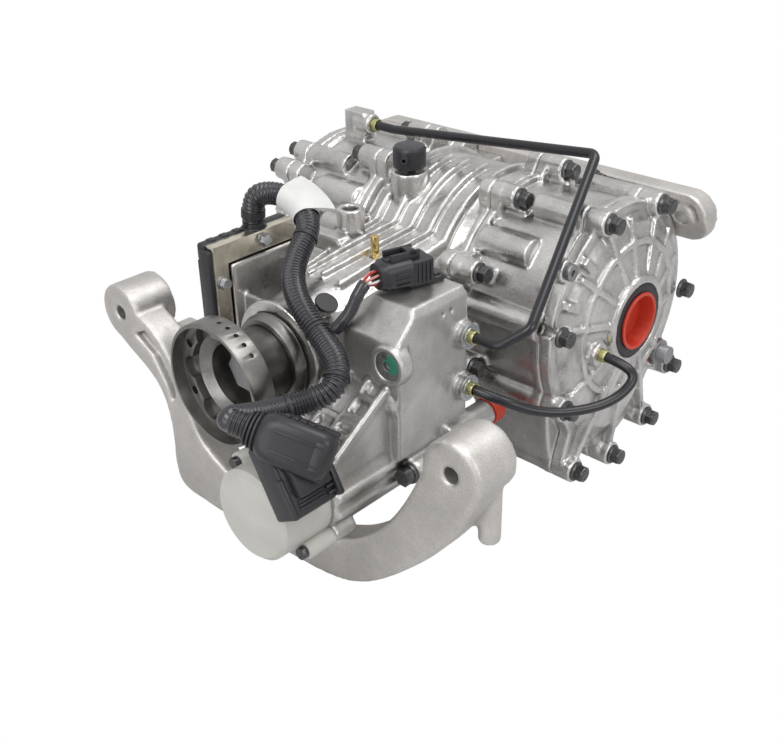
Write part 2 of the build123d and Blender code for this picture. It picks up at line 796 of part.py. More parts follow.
def make_end_cover(side):
    # The cover is built for the right side and mirrored for the left.
    seat_x = cover_seam + cover_seat
    dome = turned_x([(cover_seam + cover_flange, 0), (cover_seam + cover_flange, barrel_radius - 6),
                     (cover_seam + cover_flange + 6, barrel_radius - 16),
                     (hub_face - 9, hub_radius + 12), (hub_face - 5, hub_radius),
                     (hub_face - 1.5, hub_radius), (hub_face, hub_radius - 1.5), (hub_face, 0)])
    sump_dome = turned_x([(cover_seam + cover_flange, 0), (cover_seam + cover_flange, sump_radius - 8),
                          (seat_x - 2, sump_radius - 22), (seat_x - 2, 0)], axle_y - 5, -sump_drop)
    parts = [along_axle(barrel_outline(4), cover_seam, cover_seam + cover_flange), dome, sump_dome,
             ring_x(cover_seam - 28, cover_seam, piston_outer, piston_outer + 7),
             ring_x(cover_seam - 28, cover_seam, output_bearing_radius, piston_inner)]
    for angle, standoff in cover_bolts_of(side):
        y, z = cover_bolt_at(angle, standoff)
        radius = barrel_radius + standoff
        parts.append(ear(angle, radius, barrel_radius - 18, cover_seam, cover_seam + cover_flange))
        parts.append(rod_x(cover_seam, seat_x, boss_radius, y, z))
        parts.append(cover_rib(angle, radius))
    for angle in (20, 42, 90, 140, -78, -104):
        parts.append(cover_rib(angle, barrel_radius - 4))
    parts.append(ring_x(cover_seam + cover_flange, cover_seam + cover_flange + 13, 74, 74 + rib))
    for angle, radius in cover_pads:
        pad = Solid.make_box(9, 9, 22, Plane(origin=(cover_seam + cover_flange - 1, -4.5, radius - 11)))
        parts.append(Location((0, axle_y, 0), (angle - 90, 0, 0)) * pad)
    if side > 0:
        parts.append(rod_x(cover_seam, fitting_seat, 12, *fitting_at))
        parts.append(rod_x(cover_seam, drain_seat, 17, *drain_at))
        parts.append(rod_x(cover_seam, level_seat, 11, *level_at))
    cover = Part() + parts
    holes = [rod_x(cover_seam - 30, hub_face + 1, output_radius + 12),
             rod_x(cover_seam - 30, output_bearing_x + output_bearing_width, output_bearing_radius),
             rod_x(hub_face - seal_room, hub_face + 1, seal_outer)]
    for angle, standoff in cover_bolts_of(side):
        holes.append(rod_x(cover_seam - 1, seat_x + 1, bolt_radius + run, *cover_bolt_at(angle, standoff)))
        holes.append(rod_x(seat_x, seat_x + 30, bolt_flange_radius + gap, *cover_bolt_at(angle, standoff)))
    if side > 0:
        holes.append(rod_x(cover_seam + 14, fitting_seat + 1, pipe_radius + run, *fitting_at))
        holes.append(rod_x(drain_seat - 14, drain_seat + 1, 9 + run, *drain_at))
        holes.append(rod_x(level_seat - 10, level_seat + 1, 5 + run, *level_at))
        holes.append(rod_x(drain_seat, drain_seat + 30, 15, *drain_at))
    cover = cover - holes
    return cover


def cover_rib(angle, reach):
    # A radial rib that falls from the hub to the bolt bosses.
    x0 = cover_seam + cover_flange - 2
    points = [(x0, hub_radius - 6), (hub_face - 4, hub_radius - 6), (hub_face - 4, hub_radius + 4),
              (cover_seam + cover_seat - 3, reach - 4), (x0, reach - 4)]
    outline = Wire.make_polygon([(x, -rib / 2, r) for x, r in points], close=True)
    plate = Solid.extrude(Face(outline), Vector(0, rib, 0))
    return Location((0, axle_y, 0), (angle - 90, 0, 0)) * plate


def make_seal(x0, depth):
    return turned_x([(x0, seal_inner), (x0 + depth, seal_inner), (x0 + depth, seal_outer - 4),
                     (x0 + depth - 1, seal_outer - run), (x0, seal_outer - run)])


def make_transport_plug():
    # A cup pushed into the seal, open to the outside, with a thin collar over its lip.
    x0 = hub_face - plug_depth
    lip = hub_face + 2
    return turned_x([(x0, 0), (x0, plug_cup - 2), (hub_face, plug_cup), (hub_face, plug_flange_radius),
                     (lip, plug_flange_radius), (lip, plug_cup - plug_wall),
                     (x0 + plug_wall, plug_cup - 2 - plug_wall), (x0 + plug_wall, 0)])


def make_input_flange():
    body = turned_y([(0, pilot_radius), (0, rim_radius - 1), (1, rim_radius), (rim_length - 1, rim_radius),
                     (rim_length, rim_radius - 1), (rim_length, sleeve_radius), (sleeve_end, sleeve_radius),
                     (sleeve_end, flange_hub_radius), (flange_hub_end, flange_hub_radius),
                     (flange_hub_end, pinion_tail_radius + run), (nut_floor, pinion_tail_radius + run),
                     (nut_floor, nut_well_radius), (bowl_depth + 6, nut_well_radius),
                     (bowl_depth, bowl_radius), (pilot_depth, bowl_radius), (pilot_depth, pilot_radius)])
    holes = []
    for n in range(flange_bolt_count):
        turn = 2 * math.pi / flange_bolt_count * (n + 0.5)
        x, z = flange_bolt_circle * math.cos(turn), flange_bolt_circle * math.sin(turn)
        holes.append(rod_y(pilot_depth - 1, rim_length + 1, flange_bolt_radius, x, z))
        turn = 2 * math.pi / flange_bolt_count * n
        x, z = 41 * math.cos(turn), 41 * math.sin(turn)
        holes.append(rod_y(pilot_depth - 1, bowl_depth, scallop_radius, x, z))
    for angle in balance_angles:
        turn = math.radians(angle)
        way = (math.cos(turn), 0, math.sin(turn))
        start = ((rim_radius - 4) * way[0], balance_y, (rim_radius - 4) * way[2])
        holes.append(Solid.make_cylinder(balance_hole_radius, 6, Plane(origin=start, z_dir=way)))
    return Part() + body - holes


def make_dust_deflector():
    return turned_y([(sleeve_end - 4, sleeve_radius + run), (sleeve_end, sleeve_radius + run),
                     (sleeve_end, sleeve_radius + 4), (nose_front - face_gap - 1, deflector_radius - 1.5),
                     (nose_front - face_gap - 1, deflector_radius),
                     (sleeve_end + 3, deflector_radius), (sleeve_end - 4, sleeve_radius + 5)])


def make_valve_block():
    # Block, pump housing and the ribbed panel that slopes down to it, in one casting.
    section = make_face(Polyline((block_x0, block_bottom), (block_x0, block_top - 14),
                                 (block_x0 + 14, block_top), (block_x1 - 6, block_top),
                                 (block_x1, block_top - 8), (block_x1, block_bottom + 6),
                                 (block_x1 - 8, block_bottom), close=True))
    plane = Plane(origin=(0, block_y1, 0), x_dir=(1, 0, 0), z_dir=(0, -1, 0))
    slope_cut = slab_x([(block_y0 - 1, block_top - block_slope), (block_y0 + block_slope, block_top + 1),
                        (block_y0 - 1, block_top + 1)], block_x0 - 1, block_x1 + 1)
    body = extrude(plane * section, block_y1 - block_y0) - slope_cut
    panel_x0, panel_x1 = 58.0, 128.0
    slope = [(pump_joint_y, -60), (pump_joint_y, -44), (block_y0 + 1, 4), (block_y0 + 8, 4),
             (block_y0 + 8, -66)]
    raised = [(pump_joint_y, -60), (pump_joint_y, -38), (block_y0 + 1, 10), (block_y0 + 8, 10),
              (block_y0 + 8, -66)]
    parts = [body, slab_x(slope, panel_x0, panel_x1),
             rod_y(pump_joint_y, pump_back, pump_rear_radius, pump_x, pump_z)]
    for x in (panel_x0, 78, 102, panel_x1 - rib):
        parts.append(slab_x(raised, x, x + rib))
    for y in (pump_joint_y + 2, pump_joint_y + 34):
        parts.append(slab_x(raised, panel_x0, panel_x1) & block(panel_x0, panel_x1, y, y + rib, -60, 20))
    for turn in pump_ridge_angles:
        x, z = around_pump(turn, pump_rear_radius - 1)
        parts.append(rod_y(pump_joint_y + 3, block_y0 + 4, 5, x, z))
    plug_y = block_y0 - 6
    parts.append(rod_y(plug_y, block_y0 + 10, 19, plug_x, plug_z))
    parts.append(rod_y(104, pump_back, 12, *ear_bolt_at))
    parts.append(rod_y(block_y1 - 34, port_end, 13, port_x, port_z))
    for z in (upper_union_z, lower_union_z):
        parts.append(rod_x(block_x1 - 30, block_x1 + union_length, union_radius, union_y, z))
    holes = [rod_y(plug_y - 1, plug_y + 7, 13 + run, plug_x, plug_z),
             rod_y(103, 122, bolt_radius + run, *ear_bolt_at),
             rod_y(pump_joint_y - 1, rotor_y, 5 + run, pump_x, pump_z),
             rod_y(rotor_y, rotor_y + rotor_length + gap, rotor_radius + gap, pump_x, pump_z)]
    for z in (upper_union_z, lower_union_z):
        holes.append(rod_x(block_x1 - 10, block_x1 + union_length + 1, pipe_radius + run, union_y, z))
    for turn in pump_screw_angles:
        x, z = around_pump(turn)
        parts.append(rod_y(pump_joint_y, pump_joint_y + 26, 8, x, z))
        holes.append(rod_y(pump_joint_y - 1, pump_joint_y + 12, 3 + run, x, z))
    for y, z in block_pin_holes:
        holes.append(rod_x(block_x1 - 4, block_x1 + 1, pin_hole_radius, y, z))
    housing = Part() + parts - holes
    return housing - clear_of_nose()


def clear_of_nose():
    # Room for the input flange, its deflector and the nose beside the ribbed panel.
    return turned_y([(-20, 0), (-20, rim_radius + 3), (rim_length + 3, rim_radius + 3), (rim_length + 4, 56),
                     (block_y0 - 1, 56), (block_y0 - 1, nose_radius + 2), (shoulder_y, nose_shoulder + 2),
                     (shoulder_y, 0)])


def around_pump(angle, radius=pump_radius + 6.5):
    turn = math.radians(angle)
    return pump_x + radius * math.cos(turn), pump_z + radius * math.sin(turn)


def make_pump_cover():
    cup = turned_y([(pump_front, 0), (pump_front, pump_radius - 4), (pump_front + 4, pump_radius),
                    (pump_joint_y, pump_radius), (pump_joint_y, 0)], pump_x, pump_z)
    parts = [cup]
    holes = [rod_y(pump_front + 6, pump_joint_y + 1, armature_radius + 2, pump_x, pump_z)]
    for turn in pump_screw_angles:
        x, z = around_pump(turn)
        parts.append(rod_y(pump_joint_y - 30, pump_joint_y, 8, x, z))
        holes.append(rod_y(pump_joint_y - 31, pump_joint_y + 1, 3 + run, x, z))
    return Part() + parts - holes


def make_pump_screws():
    screws = []
    for turn in pump_screw_angles:
        x, z = around_pump(turn)
        seat = pump_joint_y - 30
        screws.append(fused(rod_y(seat, pump_joint_y + 10, 3, x, z), rod_y(seat - 6, seat, 5.5, x, z)))
    screws.append(fused(rod_y(104, 120, bolt_radius, *ear_bolt_at), rod_y(100, 104, 9.5, *ear_bolt_at),
                        hex_y(91, 100, 15, *ear_bolt_at)))
    return Compound(children=[one.solid() for one in screws])


def make_pump_rotor():
    shaft = rod_y(pump_front + 12, rotor_y + rotor_length, 5, pump_x, pump_z)
    armature = rod_y(pump_front + 12, pump_joint_y - 8, armature_radius, pump_x, pump_z)
    gear = [rod_y(rotor_y + gap, rotor_y + rotor_length, rotor_radius - 4, pump_x, pump_z)]
    for n in range(6):
        turn = math.pi / 3 * n
        x = pump_x + (rotor_radius - 4) * math.cos(turn)
        z = pump_z + (rotor_radius - 4) * math.sin(turn)
        gear.append(rod_y(rotor_y + gap, rotor_y + rotor_length, 3.5, x, z))
    return Part() + [shaft, armature, *gear]


def make_gallery_plug():
    y = block_y0 - 6
    plug = rod_y(y + 1, y + 7, 13, plug_x, plug_z)
    return Part() + plug - hex_y(y, y + 5, 8, plug_x, plug_z)


def make_port_cap():
    return turned_y([(port_end, 0), (port_end, 14), (port_end + 13, 14), (port_end + 15, 12), (port_end + 15, 0)],
                    port_x, port_z)


def make_front_bracket():
    # A cast yoke under the nose: two bored bosses, swept arms and a foot, with tabs
    # back to the housing on the left and at the bottom.
    boss = yoke_boss_radius
    outer = [(-yoke_x - boss + 2, yoke_z - 4), (-yoke_x - 6, yoke_z - boss), (-176, -88), (-160, -150),
             (-152, yoke_foot + 6), (-120, yoke_foot), (34, yoke_foot), (105, yoke_foot + 12), (166, -156),
             (228, -86), (yoke_x + boss - 2, yoke_z - 8)]
    inner = [(yoke_x - 24, yoke_z + 6), (178, -66), (160, -96), (130, -130), (88, -157), (-66, -157),
             (-112, -128), (-132, -76), (-172, -26), (-yoke_x + 26, yoke_z + 8)]
    plane = Plane(origin=(0, yoke_front + yoke_depth, 0), x_dir=(1, 0, 0), z_dir=(0, -1, 0))
    ends = [Line(outer[-1], inner[0]), Line(inner[-1], outer[0])]
    face = make_face([Spline(*outer), ends[0], Spline(*inner), ends[1]])
    arms = extrude(plane * face, yoke_depth)
    parts = [arms]
    holes = []
    for side in (-1, 1):
        x = side * yoke_x
        parts.append(rod_y(yoke_front, yoke_front + boss_length, boss, x, yoke_z))
        holes.append(rod_y(yoke_front - 1, yoke_front + boss_length + 1, yoke_bore, x, yoke_z))
    parts.append(rod_z(yoke_z - 81, yoke_z - 20, 10, yoke_x + 12, yoke_front + boss_length - 11))
    parts.append(block(-186, -44, yoke_front + yoke_depth - 8, mount_y, -64, -34) - rod_y(50, 120, 57))
    parts.append(block(-30, 30, yoke_front + yoke_depth - 8, mount_y, -166, -58))
    for x, z in yoke_bolt_spots:
        holes.append(rod_y(mount_y - 40, mount_y + 1, bolt_radius + run, x, z))
        holes.append(rod_y(yoke_front, mount_y - 18, bolt_flange_radius + gap, x, z))
    edge = [(-206, -40), (-176, -56), (-158, -84), (-150, -112), (-146, -84), (-160, -52), (-186, -30)]
    pocket = slab_y(edge, yoke_front - 1, yoke_front + 10)
    return Part() + parts - holes - pocket


def make_yoke_bolts():
    return Compound(children=[bolt_y(mount_y - 18, x, z, 34).solid() for x, z in yoke_bolt_spots])


def make_rear_arm():
    # A capsule bar across the back with a raised rim at each end, hollowed where it
    # passes the side housings.
    plane = Plane(origin=(0, arm_y + arm_depth, 0), x_dir=(1, 0, 0), z_dir=(0, -1, 0))
    length = 2 * arm_end
    bar = extrude(plane * Pos(0, arm_z) * SlotOverall(length, 2 * arm_half_height), arm_depth)
    dish = SlotOverall(length - 18, 2 * arm_half_height - 18) - Rectangle(2 * (cover_seam - 20), 100)
    face = Plane(origin=(0, arm_y + 4, 0), x_dir=(1, 0, 0), z_dir=(0, -1, 0))
    dish = extrude(face * Pos(0, arm_z) * dish, 6)
    reach = arm_end + 1
    saddle = fused(rod_x(-reach, gap - case_half, saddle_radius),
                   rod_x(case_half - gap, reach, saddle_radius))
    holes = []
    bosses = []
    for side in (-1, 1):
        x = side * arm_bore_x
        bosses.append(rod_y(arm_y, arm_y + arm_depth, 15, x, arm_z))
        holes.append(rod_y(arm_y - 1, arm_y + arm_depth + 1, arm_bore, x, arm_z))
    for x in arm_bolt_x:
        holes.append(rod_y(arm_y - 1, arm_y + arm_depth + 1, bolt_radius + run, x, arm_z))
    return Part() + [bar - dish, *bosses] - saddle - holes


def make_arm_bolts():
    bolts = []
    for x in arm_bolt_x:
        seat = arm_y + arm_depth
        bolts.append(fused(rod_y(arm_y - 20, seat, bolt_radius, x, arm_z),
                           rod_y(seat, seat + bolt_flange_depth, 7.5, x, arm_z),
                           hex_y(seat + 3, seat + 10, 13, x, arm_z)))
    return Compound(children=[one.solid() for one in bolts])


def tube(points, radii, radius):
    path = FilletPolyline(*points, radius=radii)
    start = Plane(origin=path @ 0, z_dir=path % 0)
    return sweep(start * Circle(radius), path=path)


def make_upper_pipe():
    start = block_x1 + union_length - 8
    left = -return_face
    points = [(start, union_y, upper_union_z), (181, union_y, upper_union_z), (202, 193, 50),
              (158, return_at[0] - 4, 158), (left + 30, return_at[0], return_at[1]),
              (left - 8, return_at[0], return_at[1])]
    return tube(points, [14, 12, 9, 60], pipe_radius)


def make_lower_pipe():
    start = block_x1 + union_length - 8
    points = [(start, union_y, lower_union_z), (176, union_y, lower_union_z), (208, 214, -44),
              (240, 268, -46), (250, fitting_at[0] + 2, fitting_at[1] - 12), (234, *fitting_at),
              (fitting_seat - 8, *fitting_at)]
    return tube(points, [14, 18, 16, 10, 8], pipe_radius)


def make_collars():
    collars = []
    for z in (upper_union_z, lower_union_z):
        collars.append(collar(block_x1 + union_length, union_y, z))
    collars.append(collar(fitting_seat, *fitting_at))
    collars.append(collar(-return_face, *return_at))
    return Compound(children=collars)


def collar(x0, y, z):
    x1 = x0 + collar_length
    return (rod_x(x0, x1, collar_radius, y, z) - rod_x(x0 - 1, x1 + 1, pipe_radius + run, y, z)).solid()


def make_breather():
    cap = turned_z([(0, breather_z + 4), (16.5, breather_z + 4), (17, breather_z + 6), (17, breather_z + 23),
                    (15, breather_z + 26), (0, breather_z + 26)], breather_x, breather_y)
    stem = rod_z(breather_z - 10, breather_z + 5, 6, breather_x, breather_y)
    way = Vector(0.45, -0.89, 0)
    start = Vector(breather_x, breather_y, breather_z + 16) + way * 14
    nipple = Solid.make_cylinder(4, 8, Plane(origin=start, z_dir=way))
    foot = start + way * 1.5
    drip = rod_z(breather_z + 1, breather_z + 13, 2.5, foot.X, foot.Y)
    bore = Solid.make_cylinder(1.8, 9, Plane(origin=start, z_dir=way))
    return fused(cap, stem, nipple, drip) - bore


def turned_z(profile, x, y):
    outline = Wire.make_polygon([(x + r, y, z) for r, z in profile], close=True)
    return Solid.revolve(Face(outline), 360, Axis((x, y, 0), (0, 0, 1)))


def make_drain_plug():
    shank = rod_x(drain_seat - 12, drain_seat + 2, 9, *drain_at)
    flange = rod_x(drain_seat + 2, drain_seat + 6, 14, *drain_at)
    return fused(shank, flange, rod_x(drain_seat + 6, drain_seat + 16, 9.5, *drain_at))


def make_drain_washer():
    return (rod_x(drain_seat, drain_seat + 2, 14.5, *drain_at)
            - rod_x(drain_seat - 1, drain_seat + 3, 9 + run, *drain_at)).solid()


def make_level_plug():
    plug = fused(rod_x(level_seat - 9, level_seat, 5, *level_at),
                 rod_x(level_seat, level_seat + 6, 8, *level_at))
    return plug - hex_x(level_seat + 2, level_seat + 7, 6, *level_at)


def make_control_unit():
    # A flat sealed box with a stepped lid and fins on its outer side.
    case = block(unit_x0 + 6, unit_x1, unit_y0, unit_y1, unit_z0, unit_z1)
    lid = block(unit_x0, unit_x0 + 6, unit_y0 + 6, unit_y1 - 6, unit_z0 + 6, unit_z1 - 6)
    parts = [fillet(case.edges().filter_by(Axis.X), 5.0), lid]
    for n in range(5):
        z = unit_z0 + 16 + n * 14
        parts.append(block(unit_x0 - 3, unit_x0, unit_y0 + 10, unit_y1 - 10, z, z + 3))
    parts.append(rod_z(unit_z1 - 1, unit_z1 + 10, conduit_radius - 1, unit_x0 + 12, unit_socket_y))
    holes = [rod_x(unit_x1 - 13, unit_x1 + 1, 3 + run, y, z) for y, z in unit_screws]
    return Part() + parts - holes


def make_unit_strip():
    # An angle strip over the unit's top edge with a leg down its front edge.
    x0, x1 = unit_x1, unit_x1 + strip_thickness
    lug_z = unit_lugs[0][1]
    lug_y = unit_lugs[1][0]
    top = block(x0, x1, unit_y0 + 4, lug_y + 8, unit_z1 - 16, unit_z1 + 4)
    front = block(x0, x1, unit_y0 + 4, unit_y0 + 4 + strip_width, lug_z - 8, unit_z1 + 4)
    rear = block(x0, x1, lug_y - 8, lug_y + 8, unit_lugs[1][1] - 8, unit_z1 + 4)
    lip = block(unit_x0 + 8, x1, unit_y0 + 4, unit_y1 - 2, unit_z1 + 1, unit_z1 + 4)
    socket = rod_z(unit_z1, unit_z1 + 5, conduit_radius + 1, unit_x0 + 12, unit_socket_y)
    holes = [rod_x(x0 - 1, x1 + 1, 3 + run, y, z) for y, z in unit_lugs + unit_screws]
    return Part() + [top, front, rear, lip] - socket - holes


def make_unit_screws():
    screws = []
    for y, z in unit_screws:
        x = unit_x1 + strip_thickness
        screws.append(fused(rod_x(unit_x1 - 12, x, 3, y, z), rod_x(x, x + 1.5, 7, y, z),
                            hex_x(x + 1.5, x + 7, 10, y, z)))
    for y, z in unit_lugs:
        x = unit_x1
        screws.append(fused(rod_x(x, x + 18, 3, y, z), rod_x(x - 1.5, x, 7, y, z),
                            hex_x(x - 7, x - 1.5, 10, y, z)))
    return Compound(children=[one.solid() for one in screws])


def arc_radii(points):
    # Each bend is as large as its two runs allow; an end run has one bend to share with.
    runs = [Vector(*b) - Vector(*a) for a, b in zip(points, points[1:])]
    room = [0.45 * run.length for run in runs]
    room[0] *= 2
    room[-1] *= 2
    radii = []
    for n in range(len(runs) - 1):
        turn = math.radians(runs[n].get_angle(runs[n + 1]))
        radii.append(min(room[n], room[n + 1]) / math.tan(turn / 2))
    return radii


def make_conduit():
    radii = arc_radii(conduit_route)
    return tube(conduit_route, radii, conduit_radius)


def make_branch():
    radii = arc_radii(branch_route)
    return tube(branch_route, radii, branch_radius)


def oriented(origin, along, facing, shape):
    # A shape drawn about the origin, turned so its X runs along and its Z faces out.
    return Plane(origin=origin, x_dir=along, z_dir=facing).location * shape


def soft_box(length, width, height, radius):
    box = Solid.make_box(length, width, height, Plane(origin=(0, -width / 2, -height / 2)))
    return fillet(box.edges().filter_by(Axis.X), radius)


def connector_body(grow=0.0):
    # The socket on the pump with the raised block that carries its cable outlet.
    half = connector_width / 2 + grow
    depth = connector_depth / 2 + grow
    base = Solid.make_box(connector_length + grow, 2 * half, 2 * depth, Plane(origin=(-grow, -half, -depth)))
    riser = Solid.make_box(44 + 2 * grow, 36 + 2 * grow, 22 + grow, Plane(origin=(6 - grow, -18 - grow, 0)))
    return [base, riser]


def make_pump_connector():
    parts = connector_body()
    for n in range(5):
        x = connector_length - 6 - 5 * n
        parts.append(Solid.make_box(2, connector_width - 12, 2.5, Plane(origin=(x, 6 - connector_width / 2,
                                                                              connector_depth / 2 - 0.5))))
    for y in (-connector_width / 2, connector_width / 2 - 3):
        parts.append(Solid.make_box(44, 3, 9, Plane(origin=(30, y, connector_depth / 2 - 1))))
    return oriented(connector_at, connector_along, connector_facing, Part() + parts)


def make_connector_cover():
    # The cable outlet that turns the conduit's wires into the connector.
    body = soft_box(outlet_length, 42, 34, 13.0)
    parts = [body, Solid.make_box(outlet_length - 8, 44, 12, Plane(origin=(8, -22, -8)))]
    for n in range(2):
        start = Plane(origin=(-3.2 - 3.4 * n, 0, 0), z_dir=(1, 0, 0))
        parts.append(Solid.make_cylinder(16.5 - n, 3.4, start))
    outlet = oriented(outlet_at, outlet_along, outlet_facing, Part() + parts)
    seat = oriented(connector_at, connector_along, connector_facing, Part() + connector_body(gap))
    return max((outlet - seat).solids(), key=lambda solid: solid.volume)


def make_sensor_connector():
    # Plug and socket on the valve block, with a latch on top and a bolted foot.
    z0 = block_top
    socket = block(-2, sensor_screw_x - 7, -13, 13, 3, 27)
    plug = block(-26, -2, -15, 15, 2, 29)
    latch = block(-22, 8, -7, 7, 28, 35)
    foot = block(-4, sensor_foot, -9, 9, 0, 4)
    outlet = Solid.make_cylinder(11, 6, Plane(origin=(-32, 0, 15), z_dir=(1, 0, 0)))
    shape = Part() + [fillet(socket.edges().filter_by(Axis.X), 3.0),
                      fillet(plug.edges().filter_by(Axis.X), 4.0), latch, foot, outlet]
    shape = shape - Solid.make_cylinder(3 + run, 6, Plane(origin=(sensor_screw_x, 0, -1)))
    return oriented((sensor_x, sensor_y, z0), sensor_along, (0, 0, 1), shape)


def make_sensor_screw():
    screw = fused(Solid.make_cylinder(3, 5, Plane(origin=(sensor_screw_x, 0, 0))),
                  Solid.make_cylinder(5.5, 4, Plane(origin=(sensor_screw_x, 0, 4))))
    return oriented((sensor_x, sensor_y, block_top), sensor_along, (0, 0, 1), screw)


def make_label():
    # A paper flag: a loose loop round the conduit with a flat tail.
    a, b = Vector(*conduit_route[label_run]), Vector(*conduit_route[label_run + 1])
    start = Plane(origin=(-label_loop / 2, 0, 0), z_dir=(1, 0, 0))
    inner = conduit_radius + label_ease
    loop = Solid.make_cylinder(inner + 1, label_loop, start) - Solid.make_cylinder(inner, label_loop, start)
    flag = Solid.make_box(label_length, label_flag, 1, Plane(origin=(-label_length / 2, 0, inner + gap)))
    way = (b - a).cross(Vector(0, 0, 1)).cross(b - a)
    return oriented((a + b) * 0.5, b - a, way, loop + flag)


def clip_rod(radius, depth, above):
    start = Vector(*clip_at) - Vector(*clip_way) * depth
    return Solid.make_cylinder(radius, depth + above, Plane(origin=start, z_dir=clip_way))


def make_push_clip():
    disc = Solid.make_cylinder(11, 3, Plane(origin=clip_at, z_dir=clip_way))
    stem = clip_rod(clip_stem, 14, 0.5)
    return fused(disc, stem)


def both(make):
    right = make()
    return right, mirrored(right)


def grouped(shapes):
    return Compound(children=[solid for shape in shapes for solid in shape.solids()])


def make_all():
    nodes = {}
    nodes["main_housing"] = make_main_housing()
    nodes["right_clutch_housing"] = make_clutch_housing(1)
    nodes["left_clutch_housing"] = mirrored(make_clutch_housing(-1))
    nodes["right_end_cover"] = make_end_cover(1)
    nodes["left_end_cover"] = mirrored(make_end_cover(-1))
    housing_bolts = [bolt_x(case_half + boss_depth, *housing_bolt_at(a), boss_depth + 10)
                     for a in housing_bolt_angles]
    nodes["housing_bolts"] = grouped(housing_bolts + [mirrored(b) for b in housing_bolts])
    nodes["cover_bolts"] = grouped(make_cover_bolts(1) + [mirrored(b) for b in make_cover_bolts(-1)])
    seal = make_seal(hub_face - seal_room, seal_room - 0.5)
    nodes["output_seals"] = grouped([seal, mirrored(seal)])
    carrier = bearing_x(bearing_x0, bearing_width, journal_radius, carrier_bearing_radius, 12)
    output = bearing_x(output_bearing_x, output_bearing_width, output_journal, output_bearing_radius, 10)
    axle_bearings = carrier + output
    nodes["axle_bearings"] = grouped(axle_bearings + [mirrored(one) for one in axle_bearings])
    nodes["pinion_bearings"] = grouped(
        bearing_y(tail_bearing_y, bearing_width, pinion_tail_radius, tail_bearing_radius, 10)
        + bearing_y(head_bearing_y, bearing_width, pinion_neck_radius, head_bearing_radius, 10))
    nodes["pinion_seal"] = ring_y(nose_front + 4, nose_front + nose_lip + seal_depth - 1,
                                  flange_hub_radius + run, seal_bore - run)
    nodes["crown_wheel"] = make_crown_wheel()
    nodes["pinion_shaft"] = make_pinion()
    nodes["pinion_nut"] = hex_y(nut_floor - nut_height, nut_floor, nut_flats, 0, 0) \
        - rod_y(nut_floor - nut_height - 1, nut_floor + 1, thread_radius + run)
    nodes["input_flange"] = make_input_flange()
    nodes["dust_deflector"] = make_dust_deflector()
    nodes["differential_case"] = make_differential_case()
    nodes["crown_wheel_bolts"] = make_crown_bolts()
    nodes["cross_pin"] = rod_z(-case_radius + 1, case_radius - 1, cross_pin_radius, 0, axle_y)
    nodes["right_side_gear"] = make_side_gear(1)
    nodes["left_side_gear"] = make_side_gear(-1)
    nodes["upper_spider_gear"] = make_spider(1)
    nodes["lower_spider_gear"] = make_spider(-1)
    nodes["right_output_shaft"], nodes["left_output_shaft"] = both(make_output_shaft)
    drum = make_clutch_drum()
    nodes["clutch_drums"] = grouped([drum, mirrored(drum)])
    nodes["right_clutch_hub"], nodes["left_clutch_hub"] = both(make_clutch_hub)
    nodes["right_friction_plates"], nodes["left_friction_plates"] = both(make_friction_plates)
    steel = make_steel_plates()
    nodes["clutch_steel_plates"] = grouped([steel, mirrored(steel)])
    nodes["right_clutch_piston"], nodes["left_clutch_piston"] = both(make_piston)
    nodes["right_transport_plug"], nodes["left_transport_plug"] = both(make_transport_plug)
    nodes["valve_block"] = make_valve_block()
    nodes["pump_cover"] = make_pump_cover()
    nodes["case_screws"] = grouped([make_pump_screws(), make_unit_screws(), make_sensor_screw()])
    nodes["pump_rotor"] = make_pump_rotor()
    nodes["socket_plugs"] = grouped([make_gallery_plug(), make_level_plug()])
    nodes["port_cap"] = make_port_cap()
    nodes["front_bracket"] = make_front_bracket()
    nodes["rear_arm"] = make_rear_arm()
    nodes["mount_bolts"] = grouped([make_yoke_bolts(), make_arm_bolts()])
    nodes["upper_pipe"] = make_upper_pipe()
    nodes["lower_pipe"] = make_lower_pipe()
    nodes["pipe_collars"] = make_collars()
    nodes["breather_cap"] = make_breather()
    nodes["locating_pin"] = rod_z(pin_z - pin_length, pin_z, pin_radius, pin_x, pin_y)
    nodes["drain_plug"] = make_drain_plug()
    nodes["drain_washer"] = make_drain_washer()
    nodes["control_unit"] = make_control_unit()
    nodes["control_unit_strip"] = make_unit_strip()
    nodes["harness_conduit"] = make_conduit()
    nodes["harness_branch"] = make_branch()
    nodes["harness_label"] = make_label()
    nodes["harness_clip"] = make_push_clip()
    nodes["pump_connector"] = make_pump_connector()
    nodes["connector_cover"] = make_connector_cover()
    nodes["sensor_connector"] = make_sensor_connector()
    return nodes


for name, shape in make_all().items():
    solids = shape.solids()
    whole = solids[0] if len(solids) == 1 else Compound(children=list(solids))
    export_step(whole, f"parts/{name}.step")
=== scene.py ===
import json
import math

import bmesh
import bpy
from mathutils import Matrix, Vector
from mathutils.bvhtree import BVHTree


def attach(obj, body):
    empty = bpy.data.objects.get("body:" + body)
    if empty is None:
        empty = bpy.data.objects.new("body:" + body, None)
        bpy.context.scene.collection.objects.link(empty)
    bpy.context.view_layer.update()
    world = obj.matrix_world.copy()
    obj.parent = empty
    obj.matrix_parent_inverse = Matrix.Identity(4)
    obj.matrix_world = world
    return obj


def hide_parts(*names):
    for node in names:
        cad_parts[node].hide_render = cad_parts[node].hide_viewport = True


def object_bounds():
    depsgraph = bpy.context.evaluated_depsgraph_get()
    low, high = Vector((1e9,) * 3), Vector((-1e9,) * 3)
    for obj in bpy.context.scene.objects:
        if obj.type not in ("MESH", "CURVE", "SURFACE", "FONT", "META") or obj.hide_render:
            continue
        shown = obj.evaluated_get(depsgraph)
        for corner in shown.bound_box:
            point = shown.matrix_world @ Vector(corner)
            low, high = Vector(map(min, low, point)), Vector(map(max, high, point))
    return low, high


# Metres, in the part's own frame: +X along the axle to the near output, -Y out of the
# input flange, +Z up.

